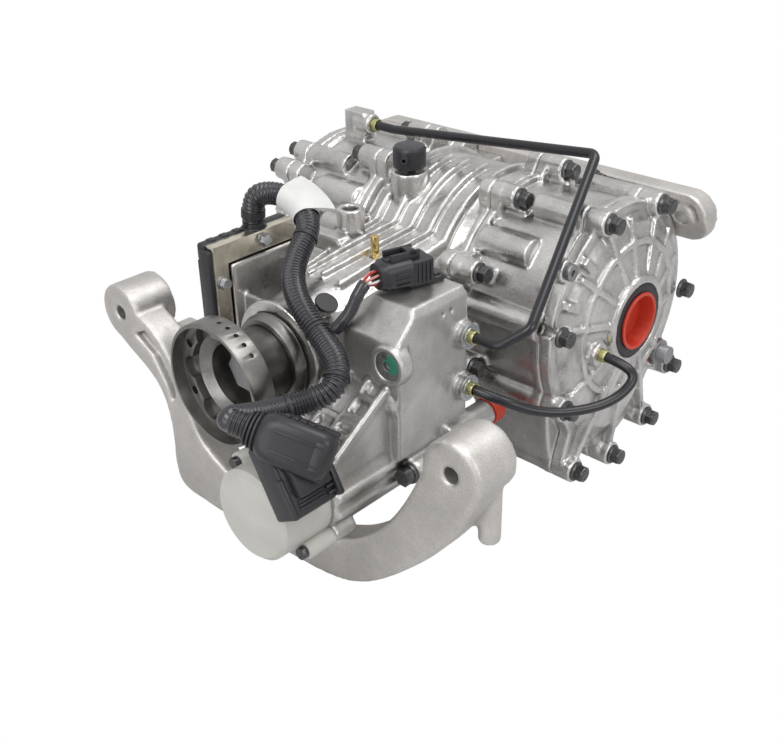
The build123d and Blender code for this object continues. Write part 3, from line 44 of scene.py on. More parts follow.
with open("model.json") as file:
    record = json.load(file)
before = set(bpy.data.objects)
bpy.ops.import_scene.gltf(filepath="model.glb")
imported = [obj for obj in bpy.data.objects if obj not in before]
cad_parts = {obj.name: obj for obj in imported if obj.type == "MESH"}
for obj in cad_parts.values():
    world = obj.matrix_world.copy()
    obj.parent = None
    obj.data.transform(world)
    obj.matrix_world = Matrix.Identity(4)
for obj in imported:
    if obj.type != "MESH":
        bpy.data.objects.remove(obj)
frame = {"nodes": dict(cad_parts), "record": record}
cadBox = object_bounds()
nodes = frame["nodes"]
axleY = 0.356           # the line of the outputs
mergeDistance = 1e-5    # corners nearer than this are one
print("frame loaded with", len(nodes), "nodes")

camera = {
    "azimuth": 43.5,
    "elevation": 29.3,
    "roll": -1.2,
    "place": (0.6929, -0.5011, 0.4847),
    "focal": 1100.0,        # in pixels of an image 780 wide
    "imageWidth": 780.0,
    "sensor": 36.0,
}


def makeCamera():
    turn, rise, tilt = (math.radians(camera[key]) for key in ("azimuth", "elevation", "roll"))
    view = Vector((-math.sin(turn) * math.cos(rise), math.cos(turn) * math.cos(rise), -math.sin(rise)))
    right = Vector((math.cos(turn), math.sin(turn), 0.0))
    up = right.cross(view)
    right, up = right * math.cos(tilt) + up * math.sin(tilt), up * math.cos(tilt) - right * math.sin(tilt)
    data = bpy.data.cameras.new("camera")
    data.sensor_fit = "HORIZONTAL"
    data.sensor_width = camera["sensor"]
    data.lens = camera["focal"] / camera["imageWidth"] * camera["sensor"]
    data.clip_start = 0.01
    body = bpy.data.objects.new("camera", data)
    body.matrix_world = Matrix.Translation(camera["place"]) @ Matrix((right, up, -view)).transposed().to_4x4()
    bpy.context.scene.collection.objects.link(body)
    bpy.context.scene.camera = body


makeCamera()
print("camera placed")


# Materials

def nodeTree(name):
    material = bpy.data.materials.new(name)
    material.use_nodes = True
    tree = material.node_tree
    return material, tree, tree.nodes["Principled BSDF"]


def addNode(tree, kind, links=None, **values):
    node = tree.nodes.new(kind)
    for key, value in values.items():
        if hasattr(node, key):
            setattr(node, key, value)
        else:
            node.inputs[key].default_value = value
    for socket, source in (links or {}).items():
        tree.links.new(source, node.inputs[socket])
    return node


def objectPoint(tree):
    return tree.nodes.new("ShaderNodeTexCoord").outputs["Object"]


def noise(tree, point, scale, detail=3.0, roughness=0.55):
    made = addNode(tree, "ShaderNodeTexNoise", {"Vector": point},
                   Scale=scale, Detail=detail, Roughness=roughness)
    return made.outputs["Fac"]


def ramp(tree, value, stops):
    made = addNode(tree, "ShaderNodeValToRGB", {"Fac": value})
    elements = made.color_ramp.elements
    while len(elements) < len(stops):
        elements.new(0.5)
    for element, (place, colour) in zip(elements, stops):
        element.position = place
        element.color = (*colour, 1.0) if len(colour) == 3 else colour
    return made.outputs["Color"]


def remap(tree, value, low, high, newLow, newHigh):
    ends = {"From Min": low, "From Max": high, "To Min": newLow, "To Max": newHigh}
    return addNode(tree, "ShaderNodeMapRange", {"Value": value}, **ends).outputs["Result"]


def multiply(tree, first, second):
    made = addNode(tree, "ShaderNodeMix", {"A": first, "B": second},
                   data_type="RGBA", blend_type="MULTIPLY", Factor=1.0)
    return made.outputs["Result"]


def bump(tree, height, strength, distance, under=None):
    made = addNode(tree, "ShaderNodeBump", {"Height": height}, Strength=strength, Distance=distance)
    if under:
        tree.links.new(under, made.inputs["Normal"])
    return made.outputs["Normal"]


def dress(tree, shader, colour, rough, normal):
    for socket, source in (("Base Color", colour), ("Roughness", rough), ("Normal", normal)):
        tree.links.new(source, shader.inputs[socket])


def grey(value, warmth=0.0):
    return (value * (1 + warmth), value, value * (1 - warmth))


# Sand castings: tones, roughness and grain of each, and the scales of the patterns they share
castLook = {
    "castHousing": {"dark": 0.50, "light": 0.72, "warmth": 0.020, "rough": (0.25, 0.38), "grain": 0.16,
                    "metal": 0.95},
    "castBlock": {"dark": 0.46, "light": 0.60, "warmth": 0.024, "rough": (0.32, 0.44), "grain": 0.18,
                  "metal": 0.9},
    "castBracket": {"dark": 0.56, "light": 0.66, "warmth": 0.040, "rough": (0.40, 0.52), "grain": 0.18,
                    "metal": 0.8},
}
castScales = {"cloud": 26.0, "speckle": 900.0, "rough": 60.0, "grain": 700.0, "waves": 70.0}
shadeAndHighlightTones = [(0.43, 0.34), (0.492, 0.92), (0.505, 1.0), (0.56, 1.08)]   # painted shade in the hollows and painted highlight on the edges, as tones from hollows to edges


def castMetal(name, look):
    material, tree, shader = nodeTree(name)
    point = objectPoint(tree)
    dark, light = grey(look["dark"], look["warmth"]), grey(look["light"], look["warmth"])
    body = ramp(tree, noise(tree, point, castScales["cloud"], 6.0, 0.65), [(0.34, dark), (0.64, light)])
    # Painted shade and highlight: the colour darkens in hollows and creases and brightens on edges, by the
    # mesh's pointiness.
    edge = addNode(tree, "ShaderNodeNewGeometry").outputs["Pointiness"]
    paintedShadeAndHighlight = ramp(tree, edge, [(place, grey(tone)) for place, tone in shadeAndHighlightTones])
    flecks = noise(tree, point, castScales["speckle"], 2.0)
    speckle = ramp(tree, flecks, [(0.36, grey(0.84)), (0.60, grey(1.04))])
    rough = remap(tree, noise(tree, point, castScales["rough"], 4.0), 0.3, 0.7, *look["rough"])
    grain = bump(tree, noise(tree, point, castScales["grain"], 3.0), look["grain"], 0.0006)
    waves = bump(tree, noise(tree, point, castScales["waves"], 3.0), 0.30, 0.002, grain)
    dress(tree, shader, multiply(tree, multiply(tree, body, paintedShadeAndHighlight), speckle), rough, waves)
    shader.inputs["Metallic"].default_value = look["metal"]
    return material


def turnedSteel(name, colour, rough, pitch):
    # Fine rings round the Y axis, as a lathe leaves them: along Y on the walls and along
    # the radius on the faces.
    material, tree, shader = nodeTree(name)
    parts = addNode(tree, "ShaderNodeSeparateXYZ", {"Vector": objectPoint(tree)})
    flat = addNode(tree, "ShaderNodeCombineXYZ", {"X": parts.outputs["X"], "Y": parts.outputs["Z"]})
    radius = addNode(tree, "ShaderNodeVectorMath", {0: flat.outputs["Vector"]}, operation="LENGTH")
    normal = tree.nodes.new("ShaderNodeTexCoord").outputs["Normal"]
    faces = addNode(tree, "ShaderNodeSeparateXYZ", {"Vector": normal})
    facing = addNode(tree, "ShaderNodeMath", {0: faces.outputs["Y"]}, operation="ABSOLUTE")
    share = remap(tree, facing.outputs[0], 0.45, 0.6, 0.0, 1.0)
    across = addNode(tree, "ShaderNodeMix",
                     {"Factor": share, "A": parts.outputs["Y"], "B": radius.outputs["Value"]})
    lathe = addNode(tree, "ShaderNodeCombineXYZ", {"X": across.outputs["Result"]})
    rings = noise(tree, lathe.outputs["Vector"], pitch, 2.0)
    smudge = ramp(tree, noise(tree, objectPoint(tree), 60.0, 4.0), [(0.35, grey(0.78)), (0.62, grey(1.0))])
    tone = ramp(tree, rings, [(0.3, [c * 0.88 for c in colour]), (0.7, colour)])
    gloss = remap(tree, rings, 0.3, 0.7, rough * 0.8, rough * 1.2)
    dress(tree, shader, multiply(tree, tone, smudge), gloss, bump(tree, rings, 0.15, 0.0002))
    shader.inputs["Metallic"].default_value = 1.0
    return material


def plainMetal(name, colour, rough, spread=0.15, scale=300.0, grain=0.2):
    material, tree, shader = nodeTree(name)
    point = objectPoint(tree)
    cloud = noise(tree, point, scale, 4.0)
    low = [c * (1 - spread) for c in colour]
    tone = ramp(tree, cloud, [(0.3, low), (0.7, colour)])
    gloss = remap(tree, noise(tree, point, scale / 4), 0.3, 0.7, rough * 0.8, rough * 1.2)
    dress(tree, shader, tone, gloss, bump(tree, cloud, grain, 0.0003))
    shader.inputs["Metallic"].default_value = 1.0
    return material


def moulded(name, colour, rough, grain=0.15, scale=900.0, coat=0.0):
    material, tree, shader = nodeTree(name)
    point = objectPoint(tree)
    fine = noise(tree, point, scale, 3.0)
    broad = noise(tree, point, 30.0, 3.0)
    low = [c * 0.85 for c in colour]
    tone = ramp(tree, broad, [(0.3, low), (0.7, colour)])
    gloss = remap(tree, broad, 0.3, 0.7, rough * 0.85, rough * 1.15)
    dress(tree, shader, tone, gloss, bump(tree, fine, grain, 0.0003))
    shader.inputs["Coat Weight"].default_value = coat
    shader.inputs["Coat Roughness"].default_value = 0.15
    return material


def paintedPlug(name, colour, paint, centre, reach):
    # Grey steel with a dab of paint round one point.
    material = plainMetal(name, colour, 0.42, 0.3, 350.0, 0.4)
    tree = material.node_tree
    shader = tree.nodes["Principled BSDF"]
    point = objectPoint(tree)
    far = addNode(tree, "ShaderNodeVectorMath", {0: point}, operation="DISTANCE")
    far.inputs[1].default_value = centre
    ragged = addNode(tree, "ShaderNodeMath", {0: far.outputs["Value"], 1: noise(tree, point, 160.0, 4.0)},
                     operation="MULTIPLY")
    share = remap(tree, ragged.outputs[0], reach * 0.45, reach * 0.55, 1.0, 0.0)
    steel = shader.inputs["Base Color"].links[0].from_socket
    mixed = addNode(tree, "ShaderNodeMix", {"Factor": share, "A": steel}, data_type="RGBA", B=(*paint, 1.0))
    tree.links.new(mixed.outputs["Result"], shader.inputs["Base Color"])
    tree.links.new(remap(tree, share, 0.0, 1.0, 1.0, 0.1), shader.inputs["Metallic"])
    return material


# Colour and roughness, then how far the tone falls, the scale of its cloud and the grain
metals = {
    "groundGear": ((0.42, 0.42, 0.43), 0.32),
    "polishedRoller": ((0.70, 0.70, 0.72), 0.15, 0.05),
    "phosphate": ((0.175, 0.172, 0.176), 0.30, 0.5, 420.0, 0.45),
    "whiteZinc": ((0.52, 0.53, 0.55), 0.28, 0.3, 300.0, 0.3),
    "yellowZinc": ((0.62, 0.60, 0.30), 0.30, 0.3, 500.0),
    "stripZinc": ((0.80, 0.75, 0.63), 0.28, 0.22, 90.0),
    "greySteel": ((0.40, 0.40, 0.42), 0.42, 0.25, 350.0, 0.4),
    "brassPin": ((0.78, 0.58, 0.22), 0.22, 0.2),
}

# Colour and roughness, then the grain, its scale and the weight of the gloss over it
plastics = {
    "redWasher": ((0.23, 0.075, 0.05), 0.5),
    "glossPipe": ((0.012, 0.012, 0.016), 0.30, 0.10, 500.0, 0.15),
    "blackRubber": ((0.022, 0.022, 0.026), 0.48, 0.3),
    "redPlug": ((0.62, 0.045, 0.018), 0.42, 0.25, 260.0),
    "blackPlastic": ((0.026, 0.026, 0.030), 0.38, 0.22, 800.0),
    "glossConduit": ((0.032, 0.030, 0.037), 0.25, 0.08, 900.0, 0.4),
    "paperLabel": ((0.80, 0.80, 0.79), 0.55, 0.05),
    "paleCan": ((0.60, 0.592, 0.555), 0.34, 0.12, 500.0),
    "redWire": ((0.50, 0.03, 0.03), 0.4),
    "pinkWire": ((0.72, 0.30, 0.26), 0.4),
    "whiteWire": ((0.74, 0.73, 0.70), 0.4),
    "sealant": ((0.30, 0.30, 0.29), 0.5, 0.4, 300.0),
    "lockTab": ((0.42, 0.44, 0.04), 0.45),
    "frictionPaper": ((0.20, 0.13, 0.08), 0.8, 0.5),
}

looks = {name: castMetal(name, look) for name, look in castLook.items()}
looks.update({name: plainMetal(name, *values) for name, values in metals.items()})
looks.update({name: moulded(name, *values) for name, values in plastics.items()})
looks["turnedFlange"] = turnedSteel("turnedFlange", (0.29, 0.282, 0.270), 0.33, 1400.0)
looks["plugSteel"] = paintedPlug("plugSteel", (0.36, 0.36, 0.36), (0.03, 0.20, 0.13),
                                 (0.138, 0.087, 0.035), 0.0085)
print("materials made")


# Pieces from the frame

cadLooks = {
    "groundGear": ["crown_wheel", "pinion_shaft", "differential_case", "cross_pin", "right_side_gear",
                   "left_side_gear", "upper_spider_gear", "lower_spider_gear", "clutch_drums",
                   "right_clutch_hub", "left_clutch_hub", "clutch_steel_plates", "pump_rotor",
                   "right_output_shaft", "left_output_shaft"],
    "polishedRoller": ["axle_bearings", "pinion_bearings"],
    "turnedFlange": ["input_flange", "dust_deflector"],
    "phosphate": ["mount_bolts", "case_screws", "crown_wheel_bolts"],
    "greySteel": ["pinion_nut", "drain_plug"],
    "plugSteel": ["socket_plugs"],
    "redWasher": ["drain_washer"],
    "glossPipe": ["upper_pipe", "lower_pipe"],
    "yellowZinc": ["pipe_collars"],
    "brassPin": ["locating_pin"],
    "blackRubber": ["output_seals", "pinion_seal"],
    "redPlug": ["right_transport_plug", "left_transport_plug", "port_cap"],
    "blackPlastic": ["breather_cap", "harness_clip"],
    "paleCan": ["pump_cover"],
    "frictionPaper": ["right_friction_plates", "left_friction_plates"],
    "castHousing": ["right_clutch_piston", "left_clutch_piston"],
}


def setLook(piece, look):
    piece.data.materials.clear()
    piece.data.materials.append(looks[look])


for look, names in cadLooks.items():
    for name in names:
        setLook(nodes[name], look)


def link(name, mesh):
    piece = bpy.data.objects.new(name, mesh)
    bpy.context.scene.collection.objects.link(piece)
    return piece


def evaluated(piece):
    graph = bpy.context.evaluated_depsgraph_get()
    return bpy.data.meshes.new_from_object(piece.evaluated_get(graph), depsgraph=graph)


def applied(piece):
    # The mesh of the piece once its modifiers are part of it.
    mesh = evaluated(piece)
    piece.modifiers.clear()
    piece.data = mesh
    return mesh


def mergedShell(node):
    shell = bmesh.new()
    shell.from_mesh(nodes[node].data)
    bmesh.ops.remove_doubles(shell, verts=shell.verts, dist=mergeDistance)
    return shell


def mergedCopy(node, name):
    mesh = nodes[node].data.copy()
    shell = mergedShell(node)
    shell.to_mesh(mesh)
    shell.free()
    return link(name, mesh)


def bodyOf(node):
    for body, members in frame["record"]["behaviour"]["bodies"].items():
        if node in members:
            return body


def standFor(piece, node):
    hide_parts(node)
    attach(piece, bodyOf(node))


def aroundAxle(point):
    return math.hypot(point.y - axleY, point.z)


def aroundY(point, x, z):
    return math.hypot(point.x - x, point.z - z)


# Shapes drawn in millimetres about their own place

metres = Matrix.Scale(0.001, 4)
cornerAngle = math.radians(28.0)


def turnTo(along, facing=(0, 0, 1)):
    # X runs along and Z faces out.
    x = Vector(along).normalized()
    z = Vector(facing)
    z = (z - x * z.dot(x)).normalized()
    return Matrix((x, z.cross(x), z)).transposed().to_4x4()


def placeOf(origin, along=(1, 0, 0), facing=(0, 0, 1)):
    return metres @ Matrix.Translation(origin) @ turnTo(along, facing)


def brick(low, high, rounding=1.0, segments=2):
    shell = bmesh.new()
    bmesh.ops.create_cube(shell, size=1.0)
    low, high = Vector(low), Vector(high)
    for vertex in shell.verts:
        vertex.co = (low + high) / 2 + vertex.co * (high - low)
    bmesh.ops.bevel(shell, geom=shell.edges[:], offset=rounding, segments=segments, profile=0.5,
                    affect="EDGES")
    return shell


def joinRings(shell, rings):
    for lower, upper in zip(rings, rings[1:]):
        count = max(len(lower), len(upper))
        for n in range(count):
            m = (n + 1) % count
            below = (lower[n % len(lower)], lower[m % len(lower)])
            above = (upper[m % len(upper)], upper[n % len(upper)])
            face = list(dict.fromkeys(below + above))
            if len(face) > 2:
                shell.faces.new(face)


def turned(profile, sides=40):
    # A closed shape round Z from pairs of radius and height that start and end on the axis.
    shell = bmesh.new()
    rings = []
    for radius, height in profile:
        count = sides if radius > 0 else 1
        angles = [2 * math.pi * n / sides for n in range(count)]
        rings.append([shell.verts.new((radius * math.cos(a), radius * math.sin(a), height)) for a in angles])
    joinRings(shell, rings)
    return shell


def lofted(sections, sides=44):
    # A closed shape along X from rows of place, half width, half height, squareness and lift.
    shell = bmesh.new()
    rings = []
    for x, width, height, power, lift in sections:
        ring = []
        for n in range(sides):
            c, s = math.cos(2 * math.pi * n / sides), math.sin(2 * math.pi * n / sides)
            y = math.copysign(abs(c) ** (2 / power), c) * width
            z = math.copysign(abs(s) ** (2 / power), s) * height
            ring.append(shell.verts.new((x, y, z + lift)))
        rings.append(ring)
    joinRings(shell, rings)
    shell.faces.new(rings[0])
    shell.faces.new(rings[-1])
    return shell


def rod(start, end, radius, sides=28):
    way = Vector(end) - Vector(start)
    shell = lofted([(x, radius, radius, 2, 0) for x in (0, way.length)], sides)
    facing = (0, 0, 1) if abs(way.normalized().z) < 0.9 else (1, 0, 0)
    shell.transform(Matrix.Translation(start) @ turnTo(way, facing))
    return shell


def beam(start, end, width, depth, facing=(0, 0, 1)):
    # A bar whose outer face has the line from start to end on it.
    way = Vector(end) - Vector(start)
    shell = brick((0, -width / 2, -depth), (way.length, width / 2, 0), min(width, depth) * 0.25, 1)
    shell.transform(Matrix.Translation(start) @ turnTo(way, facing))
    return shell


def prismX(outline, x0, x1):
    # A slab between two places on X, from an outline of pairs of Y and Z.
    shell = bmesh.new()
    ends = [[shell.verts.new((x, y, z)) for y, z in outline] for x in (x0, x1)]
    joinRings(shell, ends)
    for end in ends:
        shell.faces.new(end)
    return shell


def absorb(whole, shell):
    part = bpy.data.meshes.new("part")
    shell.to_mesh(part)
    shell.free()
    whole.from_mesh(part)
    bpy.data.meshes.remove(part)


def gather(whole, shells, look=0):
    for shell in shells:
        bmesh.ops.recalc_face_normals(shell, faces=shell.faces)
        for face in shell.faces:
            face.material_index = look
        absorb(whole, shell)


def crease(mesh):
    mesh.shade_smooth()
    mesh.set_sharp_from_angle(angle=cornerAngle)


def assemble(name, groups, place=metres):
    # groups holds a list of shells for each look.
    whole = bmesh.new()
    for index, shells in enumerate(groups.values()):
        gather(whole, shells, index)
    whole.transform(place)
    mesh = bpy.data.meshes.new(name)
    whole.to_mesh(mesh)
    whole.free()
    for look in groups:
        mesh.materials.append(looks[look])
    crease(mesh)
    return link(name, mesh)


# What two castings carry beyond their solids, in millimetres. It is joined to them in the remesh.
flank = {
    "bossFrom": 90, "bossTo": 178, "bossPlace": (285, -145.6), "bossRadius": 11.6,
    "wallFrom": 84, "wallTo": 176, "barrelRadius": 108, "barrelTurn": (-58, -146), "barrelPoints": 9,
    "skirt": [(262, -62), (266, -100), (274, -140), (280, -155), (290, -155), (312, -141), (340, -137),
              (372, -135), (400, -121), (412, -92)],
}
ladder = {
    "rails": (104, 125.5), "railFrom": 24, "railTo": 90, "railWidth": 7,
    "rungs": (26, 43, 60, 77), "rungWidth": 6, "depth": 9, "rise": 1.0,
    "middle": (60.5, -10.8), "grade": 0.643, "facing": (0, -0.54, 0.84),
}
knuckle = {"place": (130, 98, -9), "profile": [(0, -12), (8, -9), (11.5, 0), (8, 9), (0, 12)]}


def axleArc(radius, first, last, count):
    turns = [math.radians(first + (last - first) * n / (count - 1)) for n in range(count)]
    return [(1000 * axleY + radius * math.cos(turn), radius * math.sin(turn)) for turn in turns]


def flankShells():
    # The wall under the near barrel and the long boss of its lowest bolt.
    start, end = ((flank[key], *flank["bossPlace"]) for key in ("bossFrom", "bossTo"))
    barrel = axleArc(flank["barrelRadius"], *flank["barrelTurn"], flank["barrelPoints"])
    return [rod(start, end, flank["bossRadius"]),
            prismX(flank["skirt"] + barrel, flank["wallFrom"], flank["wallTo"])]


def onSlope(x, y):
    # A point that stands a little proud of the slope above the pump.
    middleY, middleZ = ladder["middle"]
    foot = Vector((x, y, middleZ + ladder["grade"] * (y - middleY)))
    return foot + Vector(ladder["facing"]) * ladder["rise"]


def blockShells():
    # A ladder of ribs on the slope, and a knuckle on the corner below the plug.
    first, last = ladder["rails"]
    shells = [beam(onSlope(x, ladder["railFrom"]), onSlope(x, ladder["railTo"]), ladder["railWidth"],
                   ladder["depth"], ladder["facing"]) for x in ladder["rails"]]
    shells += [beam(onSlope(first, y), onSlope(last, y), ladder["rungWidth"], ladder["depth"],
                    ladder["facing"]) for y in ladder["rungs"]]
    lump = turned(knuckle["profile"], 24)
    lump.transform(Matrix.Translation(knuckle["place"]))
    return shells + [lump]


extraShells = {"right_clutch_housing": flankShells, "valve_block": blockShells}


# Castings: a copy of each solid, remeshed and smoothed so that its corners and ribs are
# rounded as sand leaves them. Where keep is true, in bores and at machined faces, the mesh
# goes back to the surface of the solid.
castings = {
    "main_housing": {"look": "castHousing", "voxel": 0.0017, "smooth": 5,
                     "keep": lambda p: aroundAxle(p) < 0.102 or aroundY(p, 0, 0) < 0.044},
    "right_clutch_housing": {"look": "castHousing", "voxel": 0.0017, "smooth": 4,
                             "keep": lambda p: aroundAxle(p) < 0.1035},
    "left_clutch_housing": {"look": "castHousing", "voxel": 0.0020, "smooth": 4,
                            "keep": lambda p: aroundAxle(p) < 0.1035},
    "right_end_cover": {"look": "castHousing", "voxel": 0.0015, "smooth": 4,
                        "keep": lambda p: aroundAxle(p) < 0.0402 or abs(p.x) < 0.1775},
    "left_end_cover": {"look": "castHousing", "voxel": 0.0019, "smooth": 4,
                       "keep": lambda p: aroundAxle(p) < 0.0402 or abs(p.x) < 0.1775},
    "valve_block": {"look": "castBlock", "voxel": 0.0016, "smooth": 10,
                    "keep": lambda p: (aroundY(p, 0.086, -0.078) < 0.018
                                       or aroundY(p, 0.131, 0.032) < 0.0135 and p.y < 0.094)},
    "front_bracket": {"look": "castBracket", "voxel": 0.0022, "smooth": 10,
                      "keep": lambda p: min(aroundY(p, x, -0.022) for x in (-0.226, 0.226)) < 0.010},
    "rear_arm": {"look": "castBracket", "voxel": 0.0020, "smooth": 7,
                 "keep": lambda p: min(aroundY(p, x, 0.074) for x in (-0.196, 0.196)) < 0.009},
}
castLimit = 190000      # triangles of one casting


def triangles(mesh):
    return sum(len(face.vertices) - 2 for face in mesh.polygons)


def castPiece(node, settings):
    piece = mergedCopy(node, node + "Cast")
    solid = bmesh.new()
    solid.from_mesh(piece.data)
    tree = BVHTree.FromBMesh(solid)
    if node in extraShells:
        extra = bmesh.new()
        gather(extra, extraShells[node]())
        extra.transform(metres)
        absorb(solid, extra)
        solid.to_mesh(piece.data)
    grid = piece.modifiers.new("grid", "REMESH")
    grid.mode = "VOXEL"
    grid.voxel_size = settings["voxel"] * 1.0
    soft = piece.modifiers.new("soft", "SMOOTH")
    soft.factor = 0.5
    soft.iterations = settings["smooth"]
    mesh = applied(piece)
    for vertex in mesh.vertices:
        if settings["keep"](vertex.co):
            near = tree.find_nearest(vertex.co)
            if near[0]:
                vertex.co = near[0]
    solid.free()
    count = triangles(mesh)
    if count > castLimit:
        thin = piece.modifiers.new("thin", "DECIMATE")
        thin.ratio = castLimit / count
        mesh = applied(piece)
    mesh.shade_smooth()
    setLook(piece, settings["look"])
    standFor(piece, node)
    print(node, "cast with", count, "triangles")


for node, settings in castings.items():
    castPiece(node, settings)
print("castings made")


# Machined and moulded pieces: the solid's own faces with a small rounded edge.
softEdges = {
    "input_flange": 0.0006, "dust_deflector": 0.0004, "pump_cover": 0.0012, "breather_cap": 0.0008,
    "port_cap": 0.0008, "drain_plug": 0.0006, "mount_bolts": 0.0005, "case_screws": 0.0004,
    "socket_plugs": 0.0004, "right_transport_plug": 0.0005, "left_transport_plug": 0.0005,
    "pipe_collars": 0.0004, "locating_pin": 0.0005, "output_seals": 0.0006, "harness_clip": 0.0006,
}
accents = {"case_screws": ("whiteZinc", lambda p: p.x < -0.08)}  # the control unit's screws are plated
flatAngle = math.radians(1.0)


def softEdged(node, width):
    piece = mergedCopy(node, node + "Finished")
    shell = bmesh.new()
    shell.from_mesh(piece.data)
    bmesh.ops.dissolve_limit(shell, angle_limit=flatAngle, verts=shell.verts, edges=shell.edges)
    shell.to_mesh(piece.data)
    shell.free()
    rounding = piece.modifiers.new("rounding", "BEVEL")
    rounding.width = width
    rounding.segments = 2
    rounding.limit_method = "ANGLE"
    rounding.angle_limit = cornerAngle
    rounding.use_clamp_overlap = True
    mesh = applied(piece)
    crease(mesh)
    for look, names in cadLooks.items():
        if node in names:
            setLook(piece, look)
    if node in accents:
        look, chosen = accents[node]
        mesh.materials.append(looks[look])
        for face in mesh.polygons:
            face.material_index = int(chosen(face.center))
    standFor(piece, node)


for node, width in softEdges.items():
    softEdged(node, width)
print("edges rounded")


# Geometry Nodes helpers

def newTree(name, inputs):
    tree = bpy.data.node_groups.new(name, "GeometryNodeTree")
    tree.interface.new_socket("Geometry", in_out="INPUT", socket_type="NodeSocketGeometry")
    for label, kind in inputs:
        tree.interface.new_socket(label, in_out="INPUT", socket_type=kind)
    tree.interface.new_socket("Geometry", in_out="OUTPUT", socket_type="NodeSocketGeometry")
    return tree, tree.nodes.new("NodeGroupInput"), tree.nodes.new("NodeGroupOutput")


def grow(tree, kind, links=None, **values):
    node = tree.nodes.new(kind)
    for key, value in values.items():
        setattr(node, key, value)
    for socket, source in (links or {}).items():
        target = node.inputs[socket]
        if isinstance(source, bpy.types.NodeSocket):
            tree.links.new(source, target)
        else:
            target.default_value = source
    return node


def applyTree(piece, tree, values):
    work = piece.modifiers.new("work", "NODES")
    work.node_group = tree
    for item in tree.interface.items_tree:
        if item.in_out == "INPUT" and item.name in values:
            work[item.identifier] = values[item.name]
    mesh = evaluated(piece)
    name = piece.name
    bpy.data.objects.remove(piece)
    return link(name, mesh)


def maths(tree, operation, first, second=0.0):
    return grow(tree, "ShaderNodeMath", {0: first, 1: second}, operation=operation).outputs[0]


def finishTree(tree, inputs, geometry):
    real = grow(tree, "GeometryNodeRealizeInstances", {"Geometry": geometry})
    return grow(tree, "GeometryNodeSetMaterial",
                {"Geometry": real.outputs[0], "Material": inputs["Material"]}).outputs[0]


# The flanged hexagon bolts of the housing and cover seams, by the names of their tree's inputs
bolt = {
    "Head Flats": 0.0150, "Head Depth": 0.0085, "Flange Radius": 0.0102, "Flange Depth": 0.0030,
    "Chamfer": 0.0013, "Dimple Depth": 0.0005,
}


def boltTree():
    labels = [(label, "NodeSocketFloat") for label in bolt] + [("Material", "NodeSocketMaterial")]
    tree, source, output = newTree("flangedBolts", labels)
    value = source.outputs

    def cone(sides, bottom, top, depth, height):
        sizes = {"Vertices": sides, "Radius Bottom": bottom, "Radius Top": top, "Depth": depth}
        made = grow(tree, "GeometryNodeMeshCone", sizes)
        place = grow(tree, "ShaderNodeCombineXYZ", {"Z": height}).outputs[0]
        return grow(tree, "GeometryNodeTransform",
                    {"Geometry": made.outputs["Mesh"], "Translation": place}).outputs[0]

    flange, seat = value["Flange Radius"], value["Flange Depth"]
    lip = maths(tree, "MULTIPLY", seat, 0.5)
    corner = maths(tree, "MULTIPLY", value["Head Flats"], 1 / math.sqrt(3))
    small = maths(tree, "SUBTRACT", corner, value["Chamfer"])
    straight = maths(tree, "SUBTRACT", value["Head Depth"], value["Chamfer"])
    top = maths(tree, "ADD", seat, value["Head Depth"])
    shapes = [cone(28, flange, flange, lip, 0.0),
              cone(28, flange, maths(tree, "MULTIPLY", flange, 0.82), lip, lip),
              cone(6, corner, corner, straight, seat),
              cone(6, corner, small, value["Chamfer"], maths(tree, "ADD", seat, straight)),
              cone(24, small, maths(tree, "MULTIPLY", corner, 0.62), value["Dimple Depth"], top)]
    joined = tree.nodes.new("GeometryNodeJoinGeometry")
    for shape in shapes:
        tree.links.new(shape, joined.inputs[0])
    way = grow(tree, "GeometryNodeInputNamedAttribute", {"Name": "way"}, data_type="FLOAT_VECTOR")
    turn = grow(tree, "FunctionNodeAlignRotationToVector", {"Vector": way.outputs["Attribute"]}, axis="Z")
    placed = grow(tree, "GeometryNodeInstanceOnPoints",
                  {"Points": value["Geometry"], "Instance": joined.outputs[0], "Rotation": turn.outputs[0]})
    tree.links.new(finishTree(tree, value, placed.outputs[0]), output.inputs[0])
    return tree


def islands(node):
    # The separate solids of a CAD node, as lists of their corners, in the order of its mesh.
    shell = mergedShell(node)
    seen = set()
    found = []
    for first in shell.verts:
        if first in seen:
            continue
        seen.add(first)
        group = [first]
        for vertex in group:
            for edge in vertex.link_edges:
                other = edge.other_vert(vertex)
                if other not in seen:
                    seen.add(other)
                    group.append(other)
        found.append([vertex.co.copy() for vertex in group])
    shell.free()
    return found


flangedBolts = boltTree()


def seamBolts(node):
    tall = sum(bolt[label] for label in ("Head Depth", "Dimple Depth", "Flange Depth"))
    seats, ways = [], []
    for group in islands(node):
        low = Vector([min(p[n] for p in group) for n in range(3)])
        high = Vector([max(p[n] for p in group) for n in range(3)])
        side = 1 if high.x > 0 else -1
        outer = high.x if side > 0 else low.x
        middle = (low + high) / 2
        seats.append((outer - side * tall, middle.y, middle.z))
        ways.append((side, 0, 0))
    mesh = bpy.data.meshes.new(node + "Seats")
    mesh.from_pydata(seats, [], [])
    attribute = mesh.attributes.new("way", "FLOAT_VECTOR", "POINT")
    for n, way in enumerate(ways):
        attribute.data[n].vector = way
    piece = applyTree(link(node + "Heads", mesh), flangedBolts, {**bolt, "Material": looks["phosphate"]})
    standFor(piece, node)


for node in ("housing_bolts", "cover_bolts"):
    seamBolts(node)
print("seam bolts placed")


